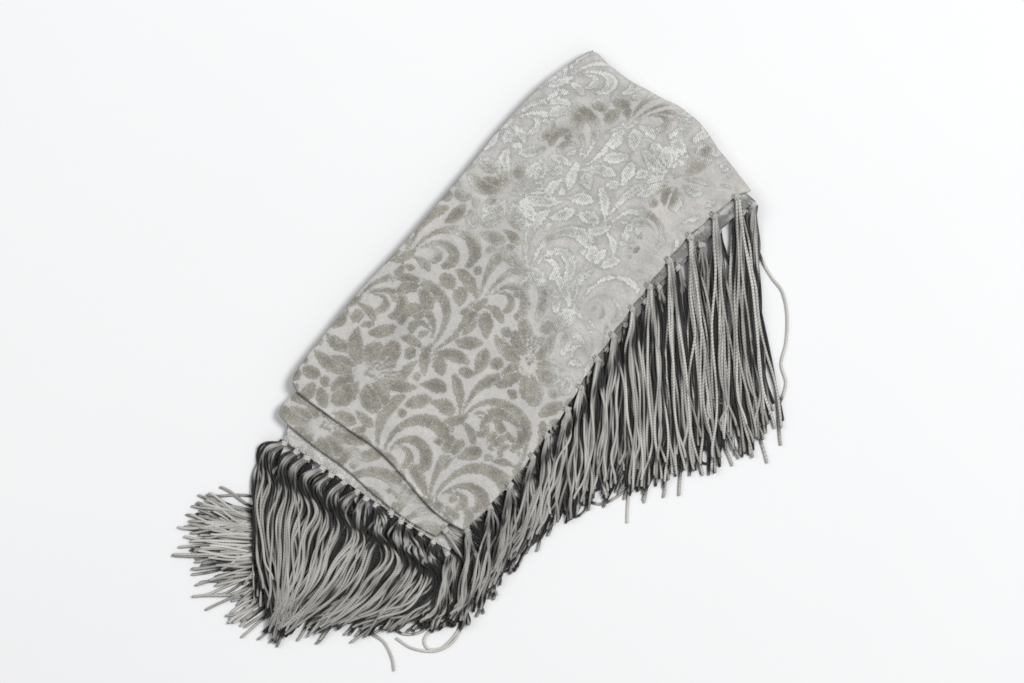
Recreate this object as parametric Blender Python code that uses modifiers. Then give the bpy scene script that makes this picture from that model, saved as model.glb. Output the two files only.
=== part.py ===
"""A fringed damask scarf, folded into an oblong packet and laid flat.

Plan: +X runs across the packet, from the lengthwise fold to the fringed selvedges. +Y runs along
it, toward the thick crosswise fold. +Z is up. The origin is the middle of the packet's underside,
on the surface that it rests on. The tables are in millimetres, the finished meshes in metres.
"""
import math

import bmesh
import bpy
from mathutils import Vector

MM = 0.001

# Driving dimensions, in millimetres
CLOTH = 1.2              # wall of the napped damask
GAP = 0.3                # clearance between neighbouring solids
PACKET_TOP = 15.2        # upper face of the top panel over the middle of the packet
PANEL_WIDTH = 190.0      # nominal size of the top panel, between its corners
PANEL_LENGTH = 372.0
FOLD_RADIUS = 2.0        # lengthwise fold of one doubled layer
END_RADIUS = 7.4         # crosswise fold round the whole stack
SECOND_TOP = 11.25       # upper face of the second fold
SECOND_SIZE = (172.0, 62.0)
SECOND_RADIUS = 1.6      # its near fold
END_TOP = 7.6            # upper face of the fringed end
END_SIZE = (152.0, 42.0)
TOP_CELLS, SECOND_CELLS, END_CELLS = (11, 20), (14, 4), (10, 4)   # cells across and along each ply
TUCK = -50.0             # how far a rolled fold turns under, in degrees below level
CORNER = 8.0             # plan radius of the folded corners
CORNER_STATION = 0.03    # share of the flat of a ply where its rounded corners end
CORNER_UNROLL = 0.62     # share of its full turn that a rolled edge keeps where it ends in a corner
OPENING = 30.0           # length over which a rolled edge opens out toward a corner
FAR_SWELL = 0.7          # how much the lengthwise fold swells where it meets the crosswise fold
SELVEDGE_DROOP = 0.7     # how far the top panel sinks toward its fringed selvedge
TUCKED_SELVEDGE = 9.0    # how far the plies just under the top panel end inside its selvedge
NEAR_TRIM = 0.02         # share of a lower ply's near and far edges given up to their corners
FAR_SPAN = 0.92          # share of the far edge of the lower plies that runs between its corners
SIDE_TRIM = 0.012        # the same for their side edges
STRIP_DEPTH = 2.0        # narrow strip that the locks hang from
STRIP_GAP = 0.7          # its clearance to the hem, whose long facets bow a little
LOCK_SHARE = 0.8         # width of a lock against the space that it has
LOCK_TIP = 0.55          # how much of its section a lock keeps at its tip
LOCK_HEAVE = 0.15        # how far neighbouring locks rise and fall, against their thickness
FRINGE_STEPS = (0.0, 0.05, 0.15, 0.38, 0.68, 1.0)    # shares of a lock where it is drawn

# Corners of the top panel and of the two plies that show past its near end
TOP_PANEL = {"near_fold": (-93.7, -188.0), "near_selvedge": (96.5, -184.0),
             "far_fold": (-88.0, 186.5), "far_selvedge": (87.5, 184.5)}
SECOND_FOLD = {"near_fold": (-88.5, -214.0), "near_selvedge": (82.0, -203.5),
               "far_fold": (-92.0, -149.0), "far_selvedge": (87.0, -149.0)}
FRINGED_END = {"near_fold": (-66.0, -227.5), "near_selvedge": (98.0, -205.5),
               "far_fold": (-86.0, -182.0), "far_selvedge": (91.0, -182.0)}
LOWER_PLIES = {"near_selvedge": (97.0, -184.0), "far_selvedge": (98.0, 181.0)}

# How far each edge bows out from the straight line between its corners: (share of the edge, bow)
TOP_FOLD_BOW = ((0.0, 0.0), (0.05, 3.2), (0.15, 5.7), (0.25, 8.0), (0.385, 7.5), (0.51, 8.7),
                (0.63, 10.3), (0.73, 12.3), (0.855, 11.5), (0.93, 6.8), (1.0, 0.0))
TOP_SELVEDGE_BOW = ((0.0, 0.0), (0.08, 2.3), (0.2, 3.2), (0.28, 0.4), (0.35, -0.4), (0.48, -8.0),
                    (0.62, -12.8), (0.76, -15.2), (0.83, -14.7), (0.9, -10.6), (0.966, -6.0), (1.0, 0.0))
TOP_NEAR_BOW = ((0.0, 0.0), (0.07, 1.6), (0.15, 0.9), (0.32, -1.7), (0.48, -4.5), (0.61, -2.3),
                (0.81, 3.7), (0.92, 3.4), (1.0, 0.0))
TOP_FAR_BOW = ((0.0, 0.0), (0.09, -1.5), (0.23, 0.4), (0.325, 4.6), (0.41, 8.0), (0.47, 11.3),
               (0.55, 13.0), (0.61, 13.0), (0.67, 11.3), (0.75, 7.6), (0.85, 4.9), (1.0, 0.0))
SECOND_NEAR_BOW = ((0.0, 0.0), (0.1, 2.0), (0.27, 2.7), (0.45, 1.6), (0.65, 4.0), (0.85, 3.6), (1.0, 0.0))
LOWER_SELVEDGE_BOW = ((0.0, 0.0), (0.3, -2.0), (0.5, -6.0), (0.62, -9.0), (0.72, -12.0), (0.85, -12.0),
                      (0.93, -8.0), (1.0, 0.0))
STRAIGHT = ((0.0, 0.0), (1.0, 0.0))

# Main creases of the top panel: from (x, y) to (x, y), half width, height (a trough is negative)
CREASES = (
    (30.0, 176.0, 31.0, 82.0, 10.0, -0.7),
    (31.0, 82.0, 38.0, 30.0, 13.0, -0.35),
    (2.0, 180.0, 20.0, 166.0, 9.0, 0.75),
    (20.0, 181.0, 34.0, 168.0, 5.0, -0.5),
    (52.0, 178.0, 56.0, 96.0, 11.0, 0.55),
    (-60.0, 150.0, -20.0, 172.0, 12.0, -0.4),
    (-78.0, -150.0, 10.0, -160.0, 15.0, 0.4),
    (-70.0, 60.0, -62.0, -90.0, 16.0, 0.45),
    (40.0, -170.0, 74.0, -60.0, 14.0, -0.35),
)

# Sections of the pressed lower plies, from the surface up. Inset is from the fold and selvedge
# edges, and the near end runs straight between its two corners. The last column says whether the
# selvedge side follows the lower plies (0) or the top panel (1).
LOWER_SECTIONS = (
    # z, inset, near fold x, near fold y, near selvedge x, near selvedge y, selvedge
    (0.0, 2.6, -70.0, -221.5, 94.5, -207.0, 0),
    (1.9, 0.3, -73.0, -224.5, 97.5, -209.5, 0),
    (3.9, 1.8, -71.0, -223.0, 96.0, -208.0, 0),
    (5.0, 0.6, -69.0, -221.0, 95.5, -204.0, 0),
    (6.0, 0.9, -69.0, -220.5, 95.0, -203.5, 0),
    (6.05, 1.4, -91.0, -180.0, 93.0, -180.0, 0),
    (7.95, 1.9, -91.0, -180.5, 93.0, -180.5, 0),
    (8.0, 1.6, -80.0, -207.5, 77.0, -197.0, 0),
    (9.0, 0.5, -79.0, -209.0, 78.0, -198.5, 0),
    (9.7, 0.9, -79.5, -208.5, 77.5, -198.0, 0),
    (9.75, 1.5, -91.0, -148.0, 90.0, -148.0, 0),
    (11.55, 2.2, -91.0, -148.5, 90.0, -148.5, 0),
    (11.6, 3.4, -89.5, -177.0, 86.0, -176.5, 1),
    (12.1, 3.2, -89.5, -177.3, 86.5, -176.8, 1),
    (12.5, 4.0, -88.5, -176.5, 85.5, -176.0, 1),
)
LOWER_POINTS = {"fold": 22, "selvedge": 18, "near": 9, "far": 12}

# Fringe guides: (share of the hem, first third x, y, second third x, y, tip x, y)
SIDE_GUIDES = (
    (0.0, 115.0, -203.0, 130.0, -227.0, 139.0, -250.0),
    (0.07, 118.0, -181.0, 134.0, -208.0, 145.0, -235.0),
    (0.14, 118.0, -156.0, 134.0, -183.0, 145.0, -211.0),
    (0.22, 117.0, -127.0, 132.0, -155.0, 143.0, -184.0),
    (0.28, 114.0, -107.0, 131.0, -136.0, 143.0, -165.0),
    (0.35, 113.0, -81.0, 132.0, -111.0, 147.0, -142.0),
    (0.42, 111.0, -57.0, 134.0, -88.0, 154.0, -118.0),
    (0.5, 110.0, -29.0, 137.0, -61.0, 161.0, -94.0),
    (0.56, 111.0, -10.0, 142.0, -44.0, 169.0, -79.0),
    (0.62, 112.0, 8.0, 147.0, -30.0, 179.0, -68.0),
    (0.69, 115.0, 32.0, 156.0, -8.0, 192.0, -50.0),
    (0.76, 120.0, 53.0, 164.0, 12.0, 206.0, -29.0),
    (0.83, 126.0, 76.0, 174.0, 30.0, 219.0, -9.0),
    (0.9, 129.0, 100.0, 180.0, 50.0, 229.0, 8.0),
    (0.96, 131.0, 122.0, 181.0, 74.0, 233.0, 28.0),
    (1.0, 137.0, 136.0, 182.0, 92.0, 235.0, 49.0),
)
END_GUIDES = (
    (0.0, -61.0, -267.0, -16.0, -316.0, 26.0, -363.0),
    (0.09, -37.0, -264.0, -4.0, -313.0, 31.0, -357.0),
    (0.24, -6.0, -256.0, 22.0, -300.0, 43.0, -342.0),
    (0.43, 28.0, -244.0, 50.0, -286.0, 63.0, -322.0),
    (0.58, 54.0, -238.0, 70.0, -275.0, 77.0, -307.0),
    (0.7, 72.0, -235.0, 87.0, -268.0, 92.0, -295.0),
    (0.82, 90.0, -232.0, 103.0, -257.0, 109.0, -281.0),
    (0.92, 102.0, -227.0, 116.0, -248.0, 122.0, -269.0),
    (1.0, 112.0, -222.0, 126.0, -240.0, 132.0, -259.0),
)
BUNDLE_GUIDES = (
    (0.0, -10.0, -246.0, -56.0, -281.0, -84.0, -310.0),
    (0.2, 7.0, -251.0, -43.0, -291.0, -83.0, -329.0),
    (0.4, 22.0, -257.0, -24.0, -299.0, -72.0, -343.0),
    (0.6, 40.0, -263.0, -6.0, -308.0, -55.0, -354.0),
    (0.8, 57.0, -269.0, 16.0, -315.0, -38.0, -359.0),
    (1.0, 78.0, -268.0, 42.0, -321.0, -6.0, -362.0),
)


def smooth(rows, at):
    """Read a smooth curve through rows of (station, value, ...) and return its values there."""
    last = len(rows) - 1
    i = 0
    while i < last - 1 and at > rows[i + 1][0]:
        i += 1
    step = rows[i + 1][0] - rows[i][0]
    t = min(max((at - rows[i][0]) / step, 0.0), 1.0)

    def slope(j, column):
        before, after = rows[max(j - 1, 0)], rows[min(j + 1, last)]
        return (after[column] - before[column]) / (after[0] - before[0]) * step

    values = []
    for column in range(1, len(rows[0])):
        a, b = rows[i][column], rows[i + 1][column]
        values.append(a * (2 * t ** 3 - 3 * t ** 2 + 1) + slope(i, column) * (t ** 3 - 2 * t ** 2 + t)
                      + b * (3 * t ** 2 - 2 * t ** 3) + slope(i + 1, column) * (t ** 3 - t ** 2))
    return values


def ease(t):
    """Go softly from 0 to 1."""
    t = min(max(t, 0.0), 1.0)
    return t * t * (3 - 2 * t)


def edge_point(start, end, bow, share, side):
    """Point on a bowed edge; side is +1 where the bow goes to the right of start to end."""
    start, end = Vector(start), Vector(end)
    run = (end - start).normalized()
    return start.lerp(end, share) + Vector((run.y, -run.x)) * side * smooth(bow, share)[0]


def plan_point(corners, bows, u, v):
    """Point of a ply in plan: u goes from the fold to the selvedge, v from the near end to the far."""
    a, b = Vector(corners["near_fold"]), Vector(corners["near_selvedge"])
    c, d = Vector(corners["far_selvedge"]), Vector(corners["far_fold"])
    near = edge_point(a, b, bows["near"], u, 1)
    far = edge_point(d, c, bows["far"], u, -1)
    fold = edge_point(a, d, bows["fold"], v, -1)
    selvedge = edge_point(b, c, bows["selvedge"], v, 1)
    flat = a.lerp(b, u).lerp(d.lerp(c, u), v)
    return near.lerp(far, v) + fold.lerp(selvedge, u) - flat


def crease_height(x, y):
    """Height of the top panel's soft creases at a point."""
    height = 0.0
    for x1, y1, x2, y2, half_width, depth in CREASES:
        start, run = Vector((x1, y1)), Vector((x2 - x1, y2 - y1))
        t = min(max((Vector((x, y)) - start).dot(run) / run.length_squared, 0.0), 1.0)
        away = (Vector((x, y)) - start - run * t).length / half_width
        height += depth * math.exp(-away * away)
    return height


def new_object(name, bm, material):
    """Turn a bmesh drawn in millimetres into a named object with its material."""
    bmesh.ops.scale(bm, vec=(MM, MM, MM), verts=bm.verts)
    mesh = bpy.data.meshes.new(name)
    bm.to_mesh(mesh)
    bm.free()
    mesh.materials.append(material)
    obj = bpy.data.objects.new(name, mesh)
    SCARF.objects.link(obj)
    return obj


def cloth_material(name, colour, roughness):
    material = bpy.data.materials.new(name)
    material.use_nodes = True
    shader = material.node_tree.nodes["Principled BSDF"]
    shader.inputs["Base Color"].default_value = (*colour, 1.0)
    shader.inputs["Roughness"].default_value = roughness
    shader.inputs["Metallic"].default_value = 0.0
    material.diffuse_color = (*colour, 1.0)
    return material


def stations(start_fold, end_fold, count):
    """Grid stations across a ply: the rolled fold at each end, then even steps between them."""
    turns = [TUCK, TUCK / 2, 0.0, 30.0, 60.0]
    flats = [i / count for i in range(count + 1)]
    run = []
    if start_fold:
        run += [("start", angle) for angle in turns]
        flats.insert(1, CORNER_STATION)
    if end_fold:
        flats.insert(-1, 1 - CORNER_STATION)
    run += [("flat", flat) for flat in flats]
    if end_fold:
        run += [("end", angle) for angle in reversed(turns)]
    return run


def station_share(station):
    """Share of the flat of a ply that a station stands at."""
    kind, value = station
    return {"flat": value, "start": 0.0, "end": 1.0}[kind]


def station_place(station, length, start_radius, end_radius, unroll):
    """Distance of a station from the start edge, and how far the roll takes it down."""
    kind, value = station
    if kind == "flat":
        return start_radius + value * (length - start_radius - end_radius), 0.0
    radius = start_radius if kind == "start" else end_radius
    angle = math.radians(90.0 - (90.0 - value) * unroll)
    inset, drop = radius * (1 - math.cos(angle)), radius * (1 - math.sin(angle))
    return (inset if kind == "start" else length - inset), drop


def round_corner(s, t):
    """Bring distances from two edges onto a rounded corner."""
    if s >= CORNER or t >= CORNER:
        return s, t
    a, b = 1 - s / CORNER, 1 - t / CORNER
    pull = max(a, b) / math.hypot(a, b)
    return CORNER * (1 - a * pull), CORNER * (1 - b * pull)


def folded_ply(name, corners, bows, size, folds, top, counts, relief, material):
    """A wall of cloth over the plan of its ply, with rolled folds where the cloth turns under."""
    across = stations(folds["fold"], 0.0, counts[0])
    along = stations(folds["near"], folds["far"], counts[1])
    width, length = size
    bm = bmesh.new()
    bmesh.ops.create_grid(bm, x_segments=len(across) - 1, y_segments=len(along) - 1, size=0.5)
    for vert in bm.verts:
        i = round((vert.co.x + 0.5) * (len(across) - 1))
        j = round((vert.co.y + 0.5) * (len(along) - 1))
        # a rolled edge opens out toward the corners, where two folds meet
        open_near = ease(station_share(along[j]) * length / OPENING)
        open_far = ease((1 - station_share(along[j])) * length / OPENING) if folds["far"] else 1.0
        open_fold = ease(station_share(across[i]) * width / OPENING) if folds["fold"] else 1.0
        fold_radius = folds["fold"] * (1.0 + FAR_SWELL * (1 - open_far))
        turn_fold = CORNER_UNROLL + (1 - CORNER_UNROLL) * open_near * open_far
        turn_ends = CORNER_UNROLL + (1 - CORNER_UNROLL) * open_fold
        s, drop_s = station_place(across[i], width, fold_radius, 0.0, turn_fold)
        t, drop_t = station_place(along[j], length, folds["near"], folds["far"], turn_ends)
        if folds["fold"]:
            s, t = round_corner(s, t)
            if folds["far"]:
                s, rest = round_corner(s, length - t)
                t = length - rest
        place = plan_point(corners, bows, s / width, t / length)
        drop = math.hypot(drop_s, drop_t)
        swell = relief(place.x, place.y, s / width, t / length) * max(0.0, 1 - drop / FOLD_RADIUS)
        vert.co = (place.x, place.y, top - drop + swell)
    ply = new_object(name, bm, material)
    wall = ply.modifiers.new("wall", "SOLIDIFY")
    wall.thickness = CLOTH * MM
    wall.offset = -1.0
    return ply


def lower_side(corner, far, bow, side, y):
    """X of a side edge of the lower plies at a height along the packet."""
    share = min(max((y - corner[1]) / (far[1] - corner[1]), 0.0), 1.0)
    return edge_point(corner, far, bow, share, side).x


def lower_ring(section):
    """Outline of the lower plies at one height, counter-clockwise from the near fold corner."""
    z, inset, fold_x, fold_y, selvedge_x, selvedge_y, follows_top = section
    near_fold, far_fold = TOP_PANEL["near_fold"], TOP_PANEL["far_fold"]
    outline, bow = (TOP_PANEL, TOP_SELVEDGE_BOW) if follows_top else (LOWER_PLIES, LOWER_SELVEDGE_BOW)
    near_selvedge, far_selvedge = outline["near_selvedge"], outline["far_selvedge"]
    selvedge_inset = inset + (TUCKED_SELVEDGE if follows_top else 0.0)

    # the stack narrows inside the crosswise fold, which wraps it from top to bottom
    inner = END_RADIUS - CLOTH - 2 * GAP
    middle = PACKET_TOP - END_RADIUS
    reach = math.sqrt(max(inner ** 2 - (z - middle) ** 2, 0.0))
    far_inset = END_RADIUS - reach

    def fold_x_at(y):
        side = lower_side(near_fold, far_fold, TOP_FOLD_BOW, -1, y) + inset
        if y >= near_fold[1]:
            return side
        return side + (fold_x - side) * ease((near_fold[1] - y) / (near_fold[1] - fold_y))

    def selvedge_x_at(y):
        side = lower_side(near_selvedge, far_selvedge, bow, 1, y) - selvedge_inset
        if y >= near_selvedge[1]:
            return side
        return side + (selvedge_x - side) * ease((near_selvedge[1] - y) / (near_selvedge[1] - selvedge_y))

    ring = []
    counts = LOWER_POINTS
    start, end = Vector((fold_x_at(fold_y), fold_y)), Vector((selvedge_x_at(selvedge_y), selvedge_y))
    for i in range(counts["near"]):
        ring.append(start.lerp(end, NEAR_TRIM + (1 - 2 * NEAR_TRIM) * i / (counts["near"] - 1)))
    far_y = far_selvedge[1] - far_inset
    for i in range(counts["selvedge"]):
        share = SIDE_TRIM + (1 - 2 * SIDE_TRIM) * i / (counts["selvedge"] - 1)
        y = selvedge_y + (far_y - selvedge_y) * share
        ring.append(Vector((selvedge_x_at(y), y)))
    far_end = Vector((selvedge_x_at(far_y), far_y))
    fold_far_y = far_fold[1] - far_inset
    far_start = Vector((fold_x_at(fold_far_y), fold_far_y))
    for i in range(counts["far"]):
        point = far_start.lerp(far_end, 1 - (NEAR_TRIM + FAR_SPAN * i / (counts["far"] - 1)))
        panel_share = (point.x - far_fold[0]) / (TOP_PANEL["far_selvedge"][0] - far_fold[0])
        bulge = smooth(TOP_FAR_BOW, min(max(panel_share, 0.0), 1.0))[0]
        ring.append(point + Vector((0.0, bulge)))
    for i in range(counts["fold"]):
        share = 2 * SIDE_TRIM + (1 - 3 * SIDE_TRIM) * i / (counts["fold"] - 1)
        y = fold_far_y + (fold_y - fold_far_y) * share
        ring.append(Vector((fold_x_at(y), y)))
    return [Vector((point.x, point.y, z)) for point in ring]


def lower_folds(material):
    """The pressed plies under the top one: a rounded stack, layered at its edges."""
    rings = [lower_ring(section) for section in LOWER_SECTIONS]
    bm = bmesh.new()
    bmesh.ops.create_circle(bm, cap_ends=True, segments=len(rings[0]), radius=1.0)
    face = bm.faces[:][0]
    lowest = [corner.vert for corner in face.loops]
    for vert, place in zip(lowest, rings[0]):
        vert.co = place
    for ring in rings[1:]:
        # the moving cap rises ring by ring and leaves the side walls behind it
        face = bmesh.ops.extrude_discrete_faces(bm, faces=[face])["faces"][0]
        for corner, place in zip(face.loops, ring):
            corner.vert.co = place
    bm.faces.new(list(reversed(lowest)))
    bmesh.ops.recalc_face_normals(bm, faces=bm.faces)
    return new_object("lower_folds", bm, material)


def fringe_path(guides, root, share, trim):
    """Points of one lock of fringe in plan, from its root to its tip."""
    x1, y1, x2, y2, x3, y3 = smooth(guides, share)
    rows = ((0.0, root.x, root.y), (1 / 3, x1, y1), (2 / 3, x2, y2), (1.0, x3, y3))
    return [Vector(smooth(rows, s * trim)) for s in FRINGE_STEPS]


def fringe(name, hem, guides, count, strip_height, heights, lock, ends, material):
    """A narrow strip along a hem, with its locks of fringe drawn out of the outer face.

    hem(share) gives the outer line of the cloth and the direction away from it. heights are the
    lock's middle at each step, lock its largest width and thickness, ends how uneven the tips are.
    """
    cells = 2 * count + 1
    bm = bmesh.new()
    bmesh.ops.create_cube(bm, size=1.0)
    long_edges = [e for e in bm.edges if abs(e.verts[0].co.x - e.verts[1].co.x) > 0.5]
    bmesh.ops.subdivide_edges(bm, edges=long_edges, cuts=cells - 1, use_grid_fill=True)

    # every second cell of the strip's outer face is the root of a lock
    outer = [face for face in bm.faces if face.normal.y > 0.5]
    outer.sort(key=lambda face: face.calc_center_median().x)
    roots = outer[1::2]
    for vert in bm.verts:
        index = round((vert.co.x + 0.5) * cells)
        place, away = hem(min(max((index - 0.5) / (cells - 1), 0.0), 1.0))
        flat = place + away * (STRIP_GAP + (STRIP_DEPTH if vert.co.y > 0 else 0.0))
        vert.co = (flat.x, flat.y, heights[0] + strip_height * vert.co.z)

    paths = []
    for index, root in enumerate(roots):
        # the tips end unevenly, in an order that doesn't repeat along the hem
        trim = 1.0 - ends * (0.5 + 0.5 * math.sin(index * 2.4) * math.cos(index * 0.9))
        paths.append(fringe_path(guides, root.calc_center_median(), (index + 0.5) / count, trim))

    for index, face in enumerate(roots):
        path = paths[index]
        near = [paths[n] for n in (index - 1, index + 1) if 0 <= n < len(paths)]
        for step in range(1, len(path)):
            here = path[step]
            ahead = (path[min(step + 1, len(path) - 1)] - path[step - 1]).normalized()
            across = Vector((ahead.y, -ahead.x))
            space = min(abs((other[step] - here).dot(across)) for other in near)
            tip = LOCK_TIP if step == len(path) - 1 else 1.0
            width = min(lock[0], LOCK_SHARE * space) * tip
            depth = lock[1] * tip
            z = heights[step] + LOCK_HEAVE * lock[1] * math.sin(index * 1.7 + step)
            face = draw_out(bm, face, here, across, width, depth, z)
    bmesh.ops.recalc_face_normals(bm, faces=bm.faces)
    return new_object(name, bm, material)


def draw_out(bm, face, here, across, width, depth, z):
    """Draw a four-sided lock one step further and set its new end to the given section."""
    grown = bmesh.ops.extrude_discrete_faces(bm, faces=[face])["faces"][0]
    centre = grown.calc_center_median()
    side = sorted((c.vert for c in grown.loops), key=lambda v: (v.co - centre).to_2d().dot(across))
    for sign, pair in ((-1, side[:2]), (1, side[2:])):
        low, high = sorted(pair, key=lambda v: v.co.z)
        flat = here + across * sign * width / 2
        low.co = (flat.x, flat.y, z - depth / 2)
        high.co = (flat.x, flat.y, z + depth / 2)
    return grown


def hem_along(corners, bow, side, from_share, to_share):
    """A hem between two corners: its point at a share of the hem, and the way out of the cloth."""
    start, end = (Vector(corner) for corner in corners)
    run = (end - start).normalized()
    away = Vector((run.y, -run.x)) * side

    def at(share):
        return edge_point(start, end, bow, from_share + (to_share - from_share) * share, side), away

    return at


def no_relief(x, y, u, v):
    return 0.0


def top_relief(x, y, u, v):
    return crease_height(x, y) - SELVEDGE_DROOP * ease((u - 0.7) / 0.3) * ease((v - 0.01) / 0.12)


for old in list(bpy.data.objects):
    bpy.data.objects.remove(old, do_unlink=True)
SCARF = bpy.data.collections.new("fringed_scarf")
bpy.context.scene.collection.children.link(SCARF)

damask = cloth_material("damask_top", (0.42, 0.42, 0.41), 0.75)
damask_second = cloth_material("damask_second", (0.40, 0.40, 0.39), 0.75)
damask_end = cloth_material("damask_hem", (0.44, 0.44, 0.43), 0.8)
damask_lower = cloth_material("damask_lower", (0.36, 0.36, 0.35), 0.8)
cord_grey = cloth_material("cord_grey", (0.23, 0.23, 0.22), 0.6)
cord_shade = cloth_material("cord_shade", (0.18, 0.18, 0.17), 0.6)

lower_folds(damask_lower)
folded_ply("top_panel", TOP_PANEL,
           {"near": TOP_NEAR_BOW, "far": TOP_FAR_BOW, "fold": TOP_FOLD_BOW, "selvedge": TOP_SELVEDGE_BOW},
           (PANEL_WIDTH, PANEL_LENGTH), {"fold": FOLD_RADIUS, "near": FOLD_RADIUS, "far": END_RADIUS},
           PACKET_TOP, TOP_CELLS, top_relief, damask)
folded_ply("second_fold", SECOND_FOLD,
           {"near": SECOND_NEAR_BOW, "far": STRAIGHT, "fold": STRAIGHT, "selvedge": STRAIGHT},
           SECOND_SIZE, {"fold": 0.0, "near": SECOND_RADIUS, "far": 0.0},
           SECOND_TOP, SECOND_CELLS, no_relief, damask_second)
folded_ply("fringed_end", FRINGED_END,
           {"near": STRAIGHT, "far": STRAIGHT, "fold": STRAIGHT, "selvedge": STRAIGHT},
           END_SIZE, {"fold": 0.0, "near": 0.0, "far": 0.0},
           END_TOP, END_CELLS, no_relief, damask_end)

HEMS = {
    "top": hem_along((TOP_PANEL["near_selvedge"], TOP_PANEL["far_selvedge"]), TOP_SELVEDGE_BOW,
                     1, 0.006, 0.945),
    "lower": hem_along((LOWER_PLIES["near_selvedge"], LOWER_PLIES["far_selvedge"]), LOWER_SELVEDGE_BOW,
                       1, 0.02, 0.99),
    "end": hem_along((FRINGED_END["near_fold"], FRINGED_END["near_selvedge"]), STRAIGHT, 1, 0.01, 0.99),
    "bundle": hem_along((LOWER_SECTIONS[1][2:4], LOWER_SECTIONS[1][4:6]), STRAIGHT, 1, 0.68, 0.98),
}
FRINGES = (
    # name, hem, guides, locks, strip height, heights of a lock's steps, lock width and thickness,
    # unevenness of the tips, material
    ("fringe_side_upper", "top", SIDE_GUIDES, 44, 1.9, (13.2, 13.2, 12.6, 6.6, 5.5, 5.2), (4.6, 2.3), 0.06,
     cord_grey),
    ("fringe_side_lower", "lower", SIDE_GUIDES, 32, 2.2, (3.4, 3.4, 3.0, 2.1, 2.0, 2.0), (5.6, 2.3), 0.1,
     cord_shade),
    ("fringe_end_upper", "end", END_GUIDES, 38, 1.9, (6.9, 6.9, 6.4, 5.5, 5.3, 5.2), (4.6, 2.3), 0.06,
     cord_grey),
    ("fringe_end_lower", "bundle", BUNDLE_GUIDES, 16, 2.0, (1.9, 1.9, 1.9, 1.9, 1.9, 1.9), (5.6, 2.3), 0.1,
     cord_shade),
)
for fringe_name, hem_name, *rest in FRINGES:
    fringe(fringe_name, HEMS[hem_name], *rest)
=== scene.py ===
import math

import bmesh
import bpy
import numpy as np
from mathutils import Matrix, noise


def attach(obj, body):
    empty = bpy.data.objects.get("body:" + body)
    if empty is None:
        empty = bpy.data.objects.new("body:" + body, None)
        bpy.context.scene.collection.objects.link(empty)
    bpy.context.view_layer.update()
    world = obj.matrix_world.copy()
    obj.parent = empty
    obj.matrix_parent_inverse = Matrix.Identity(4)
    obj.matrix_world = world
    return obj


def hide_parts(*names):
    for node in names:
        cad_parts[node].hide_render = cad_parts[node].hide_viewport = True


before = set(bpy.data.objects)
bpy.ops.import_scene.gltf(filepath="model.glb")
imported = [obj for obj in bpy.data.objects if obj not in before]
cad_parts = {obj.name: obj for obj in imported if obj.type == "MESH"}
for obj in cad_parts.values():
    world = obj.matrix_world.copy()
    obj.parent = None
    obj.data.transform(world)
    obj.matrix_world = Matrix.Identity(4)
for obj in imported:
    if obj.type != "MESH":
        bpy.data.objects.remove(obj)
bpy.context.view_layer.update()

# The tables are in millimetres, as in the part's source; the meshes are in metres
MM = 0.001
CLOTH = 1.2              # wall of the napped damask
PACKET_TOP = 15.2        # upper face of the top panel over the middle of the packet
SECOND_TOP = 11.25       # upper face of the second fold
BAND_TOP = 7.6           # upper face of the fringed end
PANEL_WIDTH = 190.0      # nominal size of the top panel, between its corners
PANEL_LENGTH = 372.0
FOLD_RADIUS = 2.0        # lengthwise fold of one doubled layer
END_RADIUS = 7.4         # crosswise fold round the whole stack
CORNER = 8.0             # plan radius of the folded corners
OPENING = 30.0           # length over which a rolled edge opens out toward a corner
UNROLL = 0.62            # share of its full turn that it keeps there
SELVEDGE_DROOP = 0.7     # how far the top panel sinks toward its fringed selvedge
HEM = 5.5                # width of its doubled hem
REPEAT = 192.0           # length of one repeat of the pattern along the scarf
CLEAR = 9.0              # how far round a motif its depth is worked out
THREAD = 0.9             # ground that stays between two motifs that meet
CORD = 1.2               # radius of a fringe cord
RISE = 1.5               # how much one cord lifts the next, nested between its neighbours
SIDES, SEGMENTS = 6, 36  # of a cord
# the knots are the same cord, painted paler as a highlight where they stand up
KNOT_HIGHLIGHT_TONE = 0.78         # how pale the knots are

# How the photo lies on the surface: the pixel over the origin, millimetres to a pixel, and the
# cosine and sine of its turn
ORIGIN_ACROSS, ORIGIN_DOWN = 524.4, 287.2
PIXEL = 0.83
TURN_COS, TURN_SIN = 0.7501, 0.6613

TOP_PANEL = {"near_fold": (-93.7, -188.0), "near_selvedge": (96.5, -184.0),
             "far_fold": (-88.0, 186.5), "far_selvedge": (87.5, 184.5)}
SECOND_FOLD = {"near_fold": (-88.5, -214.0), "near_selvedge": (82.0, -203.5),
               "far_fold": (-87.0, 180.0), "far_selvedge": (97.0, 180.0)}
HEM_BAND = {"near_fold": (-66.0, -227.5), "near_selvedge": (98.0, -205.5),
            "far_fold": (-86.0, 178.0), "far_selvedge": (96.0, 178.0)}
LOWEST = {"near_fold": (-70.0, -222.5), "near_selvedge": (96.0, -208.0),
          "far_fold": (-86.5, 178.0), "far_selvedge": (97.0, 178.0)}

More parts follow.
